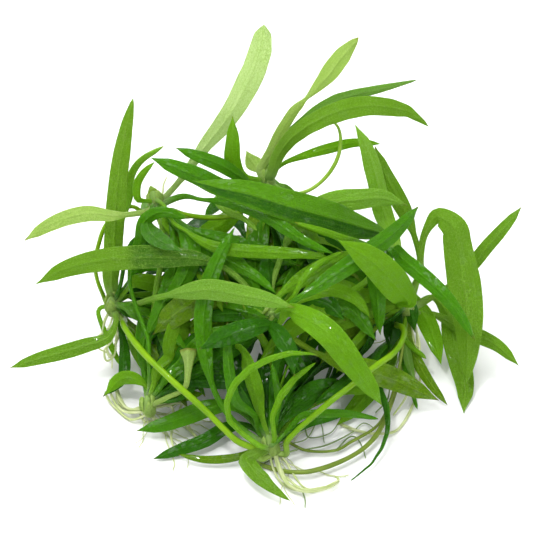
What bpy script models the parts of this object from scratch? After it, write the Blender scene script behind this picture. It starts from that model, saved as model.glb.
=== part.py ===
"""Dwarf chain sword, Helanthium bolivianum 'Quadricostatus': a tangled clump of young plants.

The clump rests on its roots, runners and lowest leaves, as lifted out of a growing cup. Nine small
crowns are linked by runners, and each carries thin strap leaves on narrow petioles and pale roots.
"""

import math
from collections import namedtuple

import bpy
import numpy as np

MM = 0.001

# Routes are measured in millimetres on a sheet held square to a line of sight that looks down at
# the table: across from the sheet's left edge, down from its top, and the height above the table.
SIGHT_ELEVATION = math.radians(45)
SHEET_MID_ACROSS = 66.5
SHEET_MID_DOWN = 75.0
FORWARD = 21.3                  # moves the clump so that its box is centred on the origin
RISE = math.sin(SIGHT_ELEVATION)
RUN = math.cos(SIGHT_ELEVATION)
CURVE_STEPS = 25                # points read on each span of a route's smooth curve
FAR = 1e3                       # beyond everything

# Leaves
BLADE_THICK = 0.75
TIP_THICK = 0.45
PETIOLE_WIDE = 1.2
PETIOLE_THICK = 0.9
BLADE_FOLD = math.radians(12)   # each half of a blade rises this much from the midrib
WIDEST_EARLY = 0.9              # below 1, a blade is widest nearer its tip
BLADE_FULLNESS = 0.6            # below 1, a blade's sides are fuller than a sine curve
TIP_SHARE = 0.125               # share of the length over which a blade narrows to its point
LEAF_STEP = 5.0                 # spacing of the sections along a leaf
BASE_REACH = 3.2                # from a crown's axis to the foot of a petiole
BASE_SPACING = 1.55             # between neighbouring petiole feet round a crown

# A petiole's first two points: out of the crown's axis, along it from the crown's centre
FOOT_OUTSIDE = ((BASE_REACH, -0.8), (BASE_REACH + 1.1, 1.1))
FOOT_IN_HEART = ((0.0, 0.5), (2.0, 2.4))

# Crowns, as a turned profile: distance along the axis, radius
CROWN_PROFILE = ((-3.0, 0.9), (-1.6, 1.4), (0.2, 1.65), (1.9, 1.2), (3.0, 0.6))
CROWN_SIDES = 8
TURN_START = (0.31, 0.17, 0.93)  # the turning starts square to this and the axis
FOOT_RADIUS = 1.3
FOOT_SLANT = 1.25               # a standing crown's foot reaches this many heights down its axis

# Runners and roots
TUBE_SIDES = 6
TUBE_STEP = 4.0
TUBE_REACH = 2.7                # from a crown's axis to the side of a runner or a root
TUBE_SPACING = 2.4              # between neighbouring ends round a crown
TUBE_LEVEL = -2.5               # where they leave it, along its axis
FREE_END_SHARE = 0.55           # a free end's radius as a share of the whole

# Spacing of everything that crosses, along the line of sight
CLEARANCE = 0.55
CELL = 0.8
SHEET_CELLS = 1000              # cells along each side of the sheet
SAMPLES_ALONG = 9               # between two sections
SAMPLES_ACROSS = 11
EDGE_MARGIN = 0.15
SHARED_BASE = 2.5               # within this of a crown its own leaves may cross on the sheet
LOOSE_AFTER = 3.0               # a leaf moves freely this far from its crown
SWEEPS = 5
SLIDE_STEPS = 60
SLIDE_SHARE = 0.35              # of the missing clearance, at each step
LIFT_SHARE = 0.6                # of the depth below the table, at each step
EASE_SHARE = 0.2                # evens out neighbouring sections, at each step
LARGEST_SLIDE = 3.0

Crown = namedtuple("Crown", "across down height axis stands")
Leaf = namedtuple("Leaf", "crown width blade_from roll finish route")
Tube = namedtuple("Tube", "start end radius finish route")

# Across, down and height of each crown, its axis, and whether it stands on the table
CROWNS = {
    "front": Crown(68, 111.25, 4.5, (-0.25, 0.1, 1), True),
    "left": Crown(28.75, 76.75, 14, (-0.2, -0.1, 1), False),
    "upper_left": Crown(39.5, 51, 34, (-0.3, 0.1, 1), False),
    "right": Crown(101.25, 77.75, 13, (0.25, -0.1, 1), False),
    "top": Crown(66.5, 46, 36, (0.1, 0.2, 1), False),
    "middle": Crown(67.5, 79.5, 27, (0.1, -0.4, 1), False),
    "low_left": Crown(37.5, 101.5, 4.5, (-0.1, 0, 1), True),
    "right_inner": Crown(95.5, 66.5, 19, (0.2, -0.2, 1), False),
    "back": Crown(62.5, 64.4, 7, (0, 0.3, 1), True),
}

# Each leaf's crown, width, share of its length that is petiole, turn about its length at its foot
# and its tip, finish and route
LEAVES = {
    # from the crown on the left
    "tall_left": Leaf("left", 4.25, 0.22, (15, -10), "mid", (
        (28, 70, 22), (28.75, 61.25, 30), (29.25, 52.5, 38), (30.25, 42.5, 48), (32, 32.5, 58),
        (33.75, 25, 65))),
    "small_upright": Leaf("left", 2.9, 0.5, (10, 50), "light", (
        (29, 66.25, 23), (30.25, 58, 30), (32.75, 48.75, 36), (33, 44, 41), (35, 41, 44),
        (38, 38.75, 46), (41.25, 36.75, 47))),
    "low_left": Leaf("left", 4.0, 0.2, (5, 0), "mid", (
        (29.25, 80.5, 14), (28, 83.75, 14), (23.75, 85.5, 13.5), (17.5, 87.5, 12.5), (10, 89.5, 11),
        (3, 91.75, 9))),
    "under_runner": Leaf("left", 4.0, 0.25, (0, 20), "dark", (
        (32.5, 81, 10.5), (37, 84.5, 12), (40, 88.75, 12), (43.75, 95.5, 8.5), (47.25, 101.75, 6))),
    "centre_light": Leaf("left", 5.5, 0.35, (0, 5), "light", (
        (33.75, 76.25, 17), (38, 74.75, 23), (46.25, 73, 32), (52.5, 72.25, 36), (60, 73.5, 38),
        (67.5, 75, 38.5), (73.5, 76.75, 38))),
    # from the crown on the upper left
    "mid_left": Leaf("upper_left", 4.25, 0.3, (10, 5), "blue", (
        (37, 53, 36.5), (32.5, 53.75, 39), (27.5, 54, 41), (23.75, 53.5, 41.5), (20, 53.75, 41),
        (15, 55.5, 40), (11.25, 57.25, 38), (6.75, 60.25, 35))),
    "bright_top": Leaf("upper_left", 5.75, 0.12, (15, 0), "pale", (
        (45, 45.75, 42), (50, 38.75, 49), (53.5, 34.25, 53), (57.5, 29.5, 57.5), (60.75, 23.75, 62),
        (63.25, 18.75, 65), (65.25, 12.5, 68), (66, 6.75, 70))),
    "dark_narrow": Leaf("upper_left", 3.5, 0.25, (0, 15), "dark", (
        (50, 50, 40), (58.75, 51.25, 44), (67.5, 54.75, 46), (73.75, 59, 45.5), (78.75, 61.75, 44.5),
        (83.25, 63.5, 43))),
    # from the crown at the top
    "dark_top": Leaf("top", 3.75, 0.2, (10, 0), "dark", (
        (61.25, 45.25, 43), (56.25, 42, 49), (50, 39.5, 52.5), (44, 37.25, 54))),
    "dark_top_low": Leaf("top", 5.0, 0.15, (-10, 0), "dark", (
        (61.25, 48, 41), (56.25, 47.5, 45), (50, 44.5, 48.5), (43.75, 42, 50), (38, 39.75, 50))),
    "mid_top": Leaf("top", 3.3, 0.3, (0, 25), "light", (
        (65, 42.5, 40.5), (68.75, 36.25, 47), (71.25, 31.25, 52), (74.25, 27, 56), (77.75, 23.75, 59),
        (81.25, 20, 61.5), (85, 15, 64), (89.5, 9.75, 66))),
    "arch_upper": Leaf("top", 3.25, 0.3, (0, 20), "blue", (
        (66.75, 43.5, 38.5), (69.25, 38, 44), (75, 32, 50), (81.25, 26.75, 53.5), (87.5, 24.25, 54),
        (95, 22.5, 53), (104, 20.25, 50))),
    "arch_lower": Leaf("top", 5.5, 0.3, (5, -10), "mid", (
        (68, 45, 39), (70, 38, 47), (75, 33, 54), (81.25, 29.5, 57), (88.75, 27, 57.5),
        (96.25, 27, 55), (102.5, 28.5, 51), (107, 32, 46))),
    # from the hidden crown inside the right half
    "big_dark": Leaf("right_inner", 8.4, 0.2, (10, 0), "deep", (
        (97.5, 61.25, 27.5), (95.5, 58.75, 32.5), (92.5, 57.75, 36), (87.5, 56, 41), (82.5, 54.5, 45),
        (75, 52.5, 49), (70, 51, 51), (62.5, 48.75, 53), (55, 47.25, 54), (48.25, 45.5, 54))),
    "right_long_dark": Leaf("right_inner", 4.25, 0.15, (0, 10), "dark", (
        (97.5, 62, 30), (100, 64.5, 33.5), (105, 68.75, 34.5), (110, 73.25, 33), (114, 78.25, 30),
        (118, 84.75, 26))),
    "front_right_hang": Leaf("right_inner", 4.75, 0.2, (0, 20), "blue", (
        (94, 65, 30), (93.25, 67, 32.5), (93.75, 70.5, 31.5), (94.25, 73.75, 29), (94.25, 78.75, 24),
        (94.75, 83.5, 19))),
    "inner_diagonal": Leaf("right_inner", 5.0, 0.35, (0, 0), "mid", (
        (90, 71.25, 26), (83.75, 75, 30), (80, 77.5, 31.5), (75, 80.5, 31.5), (68.75, 85.75, 29),
        (64.75, 90.25, 25))),
    "right_top_light": Leaf("right_inner", 5.5, 0.2, (10, 25), "light", (
        (99.25, 65.5, 26.5), (98.75, 61.25, 28.5), (95.75, 53.75, 33.5), (93.75, 45, 42),
        (91.5, 37.5, 50), (88.5, 31.5, 56))),
    # from the crown on the right
    "right_top": Leaf("right", 4.5, 0.4, (10, 0), "mid", (
        (103.25, 72.5, 16.5), (104.75, 65.5, 21.5), (103.25, 58.75, 27.5), (101, 53, 32.5),
        (98, 47.5, 37.5), (95.5, 42.5, 42), (93.5, 36.75, 47))),
    "front_broad": Leaf("right", 8.25, 0.2, (0, 5), "mid", (
        (101.75, 75.75, 22), (100, 73.25, 29), (96.25, 68.75, 38), (91.25, 64.25, 45.5),
        (84, 60, 51))),
    "right_fold": Leaf("right", 8.5, 0.42, (0, 15), "light", (
        (104, 71.25, 20), (105, 65.5, 27), (104.75, 61.25, 31.5), (105.75, 58, 35), (107.5, 55, 38.5),
        (109.5, 53.5, 40), (112.5, 55.5, 39), (114.25, 63.75, 32), (115.75, 72.5, 25),
        (116.5, 80, 18.5), (116.5, 87.5, 12), (116.25, 95.75, 5))),
    "right_hang": Leaf("right", 6.0, 0.2, (0, 10), "mid", (
        (106.25, 74.5, 14.5), (110, 74.5, 15), (112.25, 81.25, 11), (113.75, 87.5, 8),
        (115.75, 95, 4), (115.5, 103, 1.3))),
    "right_tip": Leaf("right", 3.75, 0.3, (10, 0), "mid", (
        (104.5, 75.5, 14.5), (108, 74.25, 16.5), (112.5, 70.75, 20), (117.75, 66.25, 24),
        (121.75, 61.25, 28), (125.75, 56.75, 31), (130, 51.75, 33))),
    "right_low": Leaf("right", 4.0, 0.2, (0, 10), "mid", (
        (105, 77.75, 13), (108, 78.5, 13), (112.5, 80.75, 12.5), (119.5, 84, 11), (125, 87, 9),
        (129.25, 91.25, 6))),
    "thin_hang": Leaf("right", 3.5, 0.25, (20, 50), "dark", (
        (98, 83.75, 13), (94, 88, 14.5), (92.5, 92.5, 13.5), (94.5, 97, 10), (96.25, 101.25, 7.5),
        (96.75, 105.5, 5), (96, 109.5, 3.5), (92.5, 115.25, 1.8), (87.25, 119.5, 1))),
    # from the hidden crown in the middle
    "left_long": Leaf("middle", 6.25, 0.25, (5, 0), "mid", (
        (62.5, 72.5, 32), (57, 67.5, 35), (51.25, 65, 36.5), (40, 64.25, 36.5), (32.5, 64.5, 35.5),
        (25, 65.25, 34), (17.5, 67, 31), (9.5, 71, 26))),
    "right_mid": Leaf("middle", 6.0, 0.3, (0, 5), "light", (
        (68.75, 68.75, 34), (72.5, 58.75, 39), (77.5, 53.5, 41), (83.75, 50.75, 42), (90, 50, 41.5),
        (96.25, 49.75, 39.5), (101.5, 51.5, 36.5))),
    "right_spear": Leaf("middle", 4.9, 0.2, (5, -5), "deep", (
        (71.25, 76.5, 33), (75, 74.25, 36.5), (82.5, 69.25, 40), (90, 64.25, 41.5), (97.5, 58.75, 41),
        (104.25, 51.75, 39))),
    "front_arc": Leaf("middle", 6.75, 0.15, (0, 10), "mid", (
        (71.25, 77.75, 35), (75, 78.5, 38.5), (81.25, 82.5, 39.5), (85.5, 87.5, 35.5),
        (89.5, 93, 29.5), (92.5, 97, 24.5), (95, 100.75, 19))),
    "olive_broad": Leaf("middle", 6.25, 0.3, (0, 5), "olive", (
        (75, 85.75, 23), (83.75, 90, 19), (90.5, 92, 15.5), (96.25, 93.75, 12), (101.25, 96, 9),
        (109.25, 99.75, 4))),
    "glint_broad": Leaf("middle", 7.0, 0.28, (0, 0), "olive", (
        (60.75, 76.25, 27.5), (55, 74.5, 30.5), (48.75, 75.5, 30), (43.25, 79, 25), (38.5, 83.5, 17.5))),
    # from the crown at the front
    "centre_up": Leaf("front", 4.75, 0.33, (10, 0), "blue", (
        (62.5, 108, 8), (58.75, 105, 11), (55.5, 100.75, 14), (53, 95, 18.5), (51.5, 87.5, 24.5),
        (51, 80, 29.5), (51.75, 73.75, 34), (53.75, 67, 38.5), (56.5, 61.25, 42), (58.75, 57, 44.5))),
    "bottom_left": Leaf("front", 4.75, 0.25, (0, 10), "dark", (
        (64.5, 106.25, 6), (60, 102, 9), (56.25, 100.5, 9.5), (51.25, 102, 8.5), (45, 104.25, 6),
        (40, 106, 4), (34.5, 107.25, 2))),
    "bottom_left_low": Leaf("front", 3.75, 0.2, (0, 10), "deep", (
        (63.75, 107, 4.5), (60, 105.25, 5), (55.5, 107.25, 4.5), (50, 110.25, 3.5), (43.75, 112.25, 2.5),
        (38.5, 114.25, 1.3))),
    "thin_up": Leaf("front", 3.0, 0.25, (20, 0), "dark", (
        (65.5, 105.5, 11.5), (62, 102, 15.5), (59, 99.5, 18.5), (57.5, 92.5, 23.5), (57, 86.25, 27.5),
        (57, 80.25, 31))),
    "arc_light": Leaf("front", 2.25, 0.3, (0, 10), "light", (
        (61.25, 108.25, 9.75), (57.75, 105, 14.25), (56.75, 101, 19), (57.75, 97, 23.5), (60.75, 93.25, 27.5),
        (65, 90.25, 30.5), (70, 88.5, 32.5), (75, 87.5, 33.5), (79.5, 88.5, 32.5))),
    "arc_light_short": Leaf("front", 2.0, 0.3, (0, 10), "light", (
        (67.75, 106.5, 11), (68, 103.5, 14.5), (69, 100.5, 17.5), (71.5, 96.5, 20.5), (74.5, 93.25, 24),
        (78.75, 90.25, 27))),
    "bottom_tip": Leaf("front", 3.5, 0.2, (0, 10), "mid", (
        (63.5, 112.5, 3), (61.25, 113.75, 3.2), (62.5, 116, 3), (65.5, 118.75, 3.2),
        (68.75, 121.75, 2.2), (72.5, 124.25, 1.2))),
    # from the crown low on the left
    "folded_over": Leaf("low_left", 3.5, 0.55, (0, 10), "dark", (
        (37.5, 93, 12), (37.5, 85.5, 17.5), (34.25, 76.25, 21.5), (32.75, 70.5, 25.5), (34.25, 63, 31),
        (36, 59, 35.5), (36.75, 55, 38.5), (38.75, 53, 40.5), (43.75, 54, 40.5), (48, 54.75, 39.5))),
}

# Short leaves, each grown in one with its crown
YOUNG_LEAVES = {
    "front": (
        Leaf("front", 2.25, 0.2, (0, 0), "olive", (
            (62.5, 112.5, 2.8), (58.75, 113.75, 2), (53.75, 114.25, 1.4), (49.25, 114, 1.2),
            (45, 113, 1.2))),
        Leaf("front", 2.0, 0.35, (0, 10), "dark", (
            (66.5, 104, 10), (67.5, 96, 16), (67, 87.25, 24), (63.75, 81.5, 29), (60.75, 76, 33))),
        Leaf("front", 2.25, 0.2, (0, 0), "olive", (
            (71.5, 107.5, 6), (74.5, 104, 9), (77.5, 103, 12), (87.5, 103, 10), (94.25, 104.25, 7))),
        Leaf("front", 2.25, 0.2, (0, 0), "mid", (
            (71.25, 108.75, 5.5), (75, 106, 6.5), (81.25, 104.25, 7), (87, 102.75, 7))),
        Leaf("front", 4.5, 0.3, (0, 0), "dark", (
            (72, 105.5, 7.5), (78, 99.5, 10.5), (86, 96.5, 10), (93, 98, 7.5))),
        Leaf("front", 4.5, 0.3, (0, 0), "dark", (
            (65.5, 105, 9), (61, 98, 12.5), (56, 92, 14), (50, 86, 16))),
    ),
    "left": (
        Leaf("left", 3.25, 0.45, (0, 0), "deep", (
            (30.25, 72, 20), (31.75, 65.5, 27), (33.75, 61.25, 31), (36.5, 59.5, 33), (40, 60.25, 34),
            (43, 61.75, 33.5), (45.5, 63, 33))),
        Leaf("left", 3.25, 0.3, (0, 30), "mid", (
            (30.5, 81.25, 12), (31, 86.25, 11), (31.5, 90.5, 10), (31.25, 94, 8), (28.25, 96.5, 5),
            (26, 99, 3))),
        Leaf("left", 3.5, 0.3, (0, 0), "dark", (
            (32.5, 74, 16), (38, 74, 18), (43.5, 78, 18), (47, 84, 16))),
        Leaf("left", 5.0, 0.3, (0, 0), "dark", (
            (31, 73, 18), (34, 68, 22), (38, 66, 25), (46, 66, 28), (54, 68, 29))),
        Leaf("left", 5.0, 0.3, (0, 0), "deep", (
            (31.5, 80, 9.5), (35, 87, 8), (38.5, 93, 6), (41, 98, 4))),
    ),
    "upper_left": (
        Leaf("upper_left", 2.25, 0.2, (0, 20), "light", (
            (35.5, 51, 37), (34.25, 48, 40), (35.25, 45, 43), (37, 42.5, 46), (39, 40.75, 48))),
        Leaf("upper_left", 3.5, 0.3, (0, 0), "mid", (
            (42.5, 54.5, 35.5), (46.25, 57.5, 36.5), (53.75, 61.75, 38), (65, 63, 40), (75, 63.5, 41),
            (82.5, 64.5, 41))),
        Leaf("upper_left", 3.5, 0.3, (0, 0), "mid", (
            (43, 56, 34.5), (48, 60, 35), (57.5, 65.5, 36.5), (62.5, 68, 37), (66.25, 70.75, 37),
            (69, 73.25, 36))),
        Leaf("upper_left", 4.0, 0.35, (0, 0), "dark", (
            (42, 56, 34), (43.5, 61, 33), (44, 66, 32), (43.5, 71.5, 29.5), (42, 77, 25),
            (37.5, 85.5, 20))),
        Leaf("upper_left", 4.0, 0.3, (0, 40), "mid", (
            (38.5, 50, 31), (37.5, 50.5, 26), (36.5, 53, 19), (35.5, 57, 10), (34, 60, 4))),
        Leaf("upper_left", 5.0, 0.3, (0, 0), "dark", (
            (41, 57, 28), (45.5, 62.5, 26), (52, 70, 24), (58, 78, 20))),
    ),
    "top": (
        Leaf("top", 4.25, 0.25, (0, 0), "dark", (
            (62, 45, 41), (58.5, 41.5, 48), (58.25, 35, 56), (58.25, 29.5, 60.5))),
        Leaf("top", 2.75, 0.25, (0, 0), "mid", (
            (68.75, 42.5, 39.5), (75, 39.5, 43), (82.5, 37.25, 45), (90, 35.75, 45), (95, 36.25, 43))),
        Leaf("top", 4.5, 0.3, (0, 30), "mid", (
            (68, 45.5, 34), (70, 46.5, 28), (72, 49, 20), (73.5, 53, 11), (75, 57, 4))),
        Leaf("top", 4.0, 0.3, (0, -30), "mid", (
            (64, 46, 33), (60, 47, 28), (55.5, 50, 19), (51, 54.5, 9))),
        Leaf("top", 5.5, 0.3, (0, 0), "dark", ((63, 49, 34), (58, 54, 30), (50, 60, 26), (42, 64, 22))),
        Leaf("top", 5.5, 0.3, (0, 0), "dark", ((70, 50, 34), (76, 56, 30), (84, 58.5, 27), (92, 59, 24))),
        Leaf("top", 6.0, 0.3, (0, 0), "deep", ((67, 51, 33), (67.5, 58, 30), (68, 66, 27), (68, 73, 22))),
    ),
    "right": (
        Leaf("right", 2.75, 0.3, (0, 0), "mid", (
            (103.5, 80, 12), (106.5, 81.5, 11), (109.25, 84, 10), (113.75, 86.25, 8))),
        Leaf("right", 2.25, 0.2, (0, 0), "mid", (
            (98.5, 78.5, 14.5), (96.75, 80, 15), (97, 83, 12.5), (97.25, 87.25, 9))),
        Leaf("right", 1.75, 0.2, (0, 0), "olive", (
            (100.25, 81.25, 11), (100.75, 90, 7.5), (102.5, 97, 3.5), (104, 102, 1.2))),
        Leaf("right", 3.0, 0.2, (0, 0), "mid", (
            (101, 81.5, 11), (103, 88, 9), (105, 92, 7), (108.25, 97, 4), (111.5, 101, 1.5))),
        Leaf("right", 3.25, 0.25, (0, 0), "deep", (
            (99.5, 83, 11), (94, 89, 11), (87.5, 94, 12), (82.5, 97.75, 11.5), (78, 101, 9))),
        Leaf("right", 5.0, 0.3, (0, 0), "dark", (
            (100, 83, 9), (96, 92, 6.5), (90, 100, 4), (84, 106, 2))),
    ),
    "middle": (
        Leaf("middle", 3.75, 0.3, (0, 0), "dark", (
            (63, 73, 32), (57, 68, 33.5), (51, 66.5, 34), (47.5, 68, 34), (43.75, 70.75, 33),
            (39.25, 73.5, 30))),
        Leaf("middle", 1.75, 0.3, (0, 0), "light", (
            (71.5, 76, 33.5), (74.25, 72.5, 37), (75.75, 69.5, 39), (78.25, 67, 41), (81.25, 64.75, 42),
            (85.5, 63, 43))),
        Leaf("middle", 5.0, 0.25, (0, 0), "deep", (
            (70, 73.5, 32.5), (76, 69.5, 35), (82.5, 66, 36), (88, 62.5, 36))),
        Leaf("middle", 3.5, 0.25, (0, 0), "mid", (
            (74, 75.5, 32), (81.25, 72.5, 33), (86.25, 73, 32.5), (90, 76, 29), (92.25, 79.25, 25))),
        Leaf("middle", 4.5, 0.3, (0, 0), "dark", (
            (69, 83, 23), (74, 91, 18), (77, 98, 11))),
        Leaf("middle", 4.5, 0.3, (0, 0), "dark", (
            (62, 80, 23), (56, 85, 19), (49, 91, 13))),
    ),
    "low_left": (
        Leaf("low_left", 3.0, 0.2, (0, 0), "olive", ((41, 100.5, 5), (45, 99, 6.5), (51.25, 98, 8))),
        Leaf("low_left", 3.5, 0.35, (0, 0), "light", (
            (42, 100, 6.5), (46.5, 98.5, 9), (47.75, 95, 12), (47.5, 91, 15), (47.25, 87.25, 18))),
        Leaf("low_left", 2.0, 0.2, (0, 0), "dark", ((39.5, 102.5, 3.5), (38.25, 104.75, 2))),
        Leaf("low_left", 5.0, 0.3, (0, 0), "deep", (
            (36.5, 94, 10), (36, 86, 14), (38, 78, 18), (42, 70, 22))),
        Leaf("low_left", 5.0, 0.3, (0, 0), "dark", (
            (41, 97, 9), (46, 90, 13), (52, 82, 16), (58, 76, 18))),
    ),
    "right_inner": (
        Leaf("right_inner", 2.0, 0.4, (0, 0), "light", (
            (93, 62, 30), (90, 60.75, 36), (86.25, 60, 42), (80, 57.75, 46), (73.5, 55.75, 48))),
        Leaf("right_inner", 4.5, 0.3, (0, 20), "mid", (
            (96, 64, 19), (96.5, 62.5, 14), (96.5, 63.5, 9), (97, 65, 3.5))),
        Leaf("right_inner", 5.5, 0.3, (0, 0), "dark", (
            (92, 69, 18), (86, 75, 19), (82, 84, 17), (80, 92, 12))),
        Leaf("right_inner", 5.0, 0.3, (0, 0), "dark", (
            (99, 70, 17), (104, 76, 14), (108, 84, 9), (110, 91, 5))),
    ),
    "back": (
        Leaf("back", 5.0, 0.25, (0, 20), "mid", (
            (58, 60.5, 11), (53, 57.5, 11), (48, 56.5, 6), (45.5, 57.5, 2))),
        Leaf("back", 5.0, 0.25, (0, 0), "mid", (
            (61, 58.5, 12), (59, 54.5, 12), (57, 52.5, 7), (56, 53, 2))),
        Leaf("back", 5.0, 0.25, (0, 0), "dark", (
            (65, 58.5, 12), (69, 54.5, 12), (73, 52.5, 7), (75, 53, 2))),
        Leaf("back", 5.0, 0.25, (0, -20), "mid", (
            (68, 60.5, 12), (76, 57.5, 12), (83, 56.5, 7), (88, 58, 2))),
        Leaf("back", 4.5, 0.3, (0, 0), "dark", ((68, 66, 11), (78, 67, 14), (88, 68, 11), (94, 70.5, 6))),
        Leaf("back", 4.5, 0.3, (0, 0), "dark", ((57, 65, 11), (48, 65, 13), (41, 66, 10), (36, 69, 5))),
        Leaf("back", 6.0, 0.25, (0, 0), "deep", (
            (58, 66.5, 12), (50, 70.5, 16), (42, 74.5, 17), (34, 79, 14))),
        Leaf("back", 6.0, 0.25, (0, 0), "deep", ((60, 69, 13), (56, 76, 17), (52, 84, 17), (47, 92, 11))),
        Leaf("back", 6.0, 0.25, (0, 0), "deep", (
            (65, 69.5, 14), (66.5, 78, 17), (68, 88, 15), (70, 98, 9))),
        Leaf("back", 6.0, 0.25, (0, 0), "deep", (
            (67.5, 68.5, 13), (75, 74.5, 17), (82, 82, 16), (86, 91, 11))),
    ),
}

TUBES = {
    "runner_front_left": Tube("left", "front", 1.0, "runner", (
        (31.25, 81.25, 16.5), (33.75, 85, 19), (37.5, 89.25, 20.5), (41.25, 92.75, 20.5),
        (45, 96.25, 18.5), (48.75, 99.5, 16), (52.5, 103, 13), (56.25, 106.75, 10), (60, 110, 7),
        (63.75, 111.75, 5.5))),
    "runner_front_right": Tube("front", "right", 0.9, "runner", (
        (71.75, 109.5, 8.5), (75, 106.25, 12.5), (82.5, 99.75, 19), (88, 95.5, 21), (93, 91.5, 21),
        (98.5, 87.5, 18.5), (100.75, 82.5, 15))),
    "runner_upper": Tube("upper_left", "top", 0.85, "runner", (
        (42.5, 52.75, 36.5), (47.5, 54, 38.5), (53.75, 54.5, 40), (59.5, 53.5, 39), (64, 50, 37))),
    "runner_left": Tube("left", "upper_left", 0.65, "runner", (
        (25.75, 73, 17), (24, 67.5, 22), (24.75, 62, 27), (27, 56, 31), (32.5, 51.75, 33.5))),
    "runner_loop": Tube("top", None, 0.6, "pale_runner", (
        (71.25, 49, 38.5), (76.25, 48.25, 40), (82, 43.75, 43), (84.25, 39.5, 46.5), (85, 35, 50),
        (83.75, 31, 53), (81, 29, 54))),
    "runner_ground": Tube(None, "right", 0.75, "runner", (
        (63.5, 114.5, 0.7), (67.5, 116.25, 0.7), (72.5, 117.25, 0.7), (78, 117, 0.7),
        (87.5, 113.5, 0.7), (93, 109.25, 0.9),
        (96.5, 103, 2), (99.75, 93, 6), (101, 84, 9.5))),
    "runner_middle": Tube("middle", "back", 0.9, "runner", (
        (68, 79, 21), (67, 75, 17), (64.5, 70, 11), (63, 67, 7))),
    "root_braid_front": Tube("front", None, 1.0, "root", (
        (69.25, 116, 1.0), (70.75, 118.75, 0.9), (73, 120.75, 0.9),
        (76.25, 121.5, 0.9), (82.5, 120.75, 0.9), (84.5, 119, 0.9))),
    "root_ring_right": Tube("right", None, 0.6, "root", (
        (104, 85, 8), (105.25, 93, 3), (104.5, 97.5, 1.2), (102, 103, 0.55), (97.5, 107.5, 0.55),
        (91.25, 108, 0.55), (84.5, 105.5, 0.55))),
    "root_low_left": Tube("low_left", None, 0.8, "root", (
        (36.25, 102.5, 1.8), (34.25, 102.75, 0.8), (31.75, 101.5, 0.7), (30, 99.5, 0.7),
        (29.5, 97, 0.7))),
    "root_left_curl": Tube("left", None, 0.5, "root", (
        (29.5, 79.5, 11), (29.75, 83.75, 8.5), (29, 87, 6.5), (27.5, 89.5, 5), (26, 88.75, 4.5),
        (26.75, 86.25, 5))),
    "root_right": Tube("right", None, 0.8, "root", (
        (101, 79.5, 9.5), (102, 82.5, 6.5), (103, 85.5, 3), (103.75, 87.25, 0.7))),
}

# Colour, roughness
FINISHES = {
    "pale": ((0.45, 0.72, 0.22), 0.4),
    "light": ((0.24, 0.47, 0.05), 0.38),
    "mid": ((0.12, 0.34, 0.02), 0.38),
    "olive": ((0.15, 0.27, 0.02), 0.38),
    "blue": ((0.10, 0.28, 0.06), 0.42),
    "dark": ((0.05, 0.19, 0.01), 0.36),
    "deep": ((0.03, 0.13, 0.008), 0.34),
    "runner": ((0.26, 0.50, 0.04), 0.32),
    "pale_runner": ((0.42, 0.60, 0.14), 0.35),
    "root": ((0.62, 0.70, 0.38), 0.45),
    "crown": ((0.20, 0.38, 0.06), 0.40),
}


def on_sight(points):
    """Sheet measures (across, down, height) as (right, up, towards the eye), square to the sight."""
    across, down, height = np.asarray(points, float).T
    up = SHEET_MID_DOWN - down
    return np.stack([across - SHEET_MID_ACROSS, up, (height - up * RUN) / RISE], axis=1)


def to_world(points):
    """Sight coordinates, in millimetres, as the frame's X, Y and Z."""
    right, up, near = np.asarray(points, float).reshape(-1, 3).T
    return np.stack([right, up * RISE - near * RUN + FORWARD, up * RUN + near * RISE], axis=1)


def from_world(direction):
    """A direction in the frame, turned into sight coordinates."""
    x, y, z = direction
    return np.array([x, y * RISE + z * RUN, z * RISE - y * RUN])


def unit(vectors):
    return vectors / np.maximum(np.linalg.norm(vectors, axis=-1, keepdims=True), 1e-9)


def smooth_route(points, shares):
    """The smooth curve through the points (centripetal Hermite spans), read at shares of its length."""
    points = np.asarray(points, float)
    steps = np.diff(points, axis=0)
    spans = np.maximum(np.linalg.norm(steps, axis=1) ** 0.5, 1e-6)[:, None]
    slopes = steps / spans
    inner = (slopes[:-1] * spans[1:] + slopes[1:] * spans[:-1]) / (spans[:-1] + spans[1:])
    tangents = np.concatenate([slopes[:1], inner, slopes[-1:]])
    t = np.linspace(0, 1, CURVE_STEPS)[None, :, None]
    start, end, width = points[:-1, None], points[1:, None], spans[:, None]
    curve = (
        (2 * t**3 - 3 * t**2 + 1) * start + (t**3 - 2 * t**2 + t) * width * tangents[:-1, None]
        + (3 * t**2 - 2 * t**3) * end + (t**3 - t**2) * width * tangents[1:, None]
    ).reshape(-1, 3)
    length = np.concatenate([[0], np.cumsum(np.linalg.norm(np.diff(curve, axis=0), axis=1))])
    places = np.asarray(shares) * length[-1]
    return np.stack([np.interp(places, length, curve[:, k]) for k in range(3)], axis=1)


def route_length(points):
    return float(np.linalg.norm(np.diff(points, axis=0), axis=1).sum())


def station_shares(route, step, fewest, most, end_gaps):
    """Shares of a route's length for its sections, with one close to each end."""
    count = int(np.clip(route_length(route) / step + 2, fewest, most))
    return np.concatenate([[0], np.linspace(end_gaps[0], 1 - end_gaps[1], count - 2), [1]])


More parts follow.
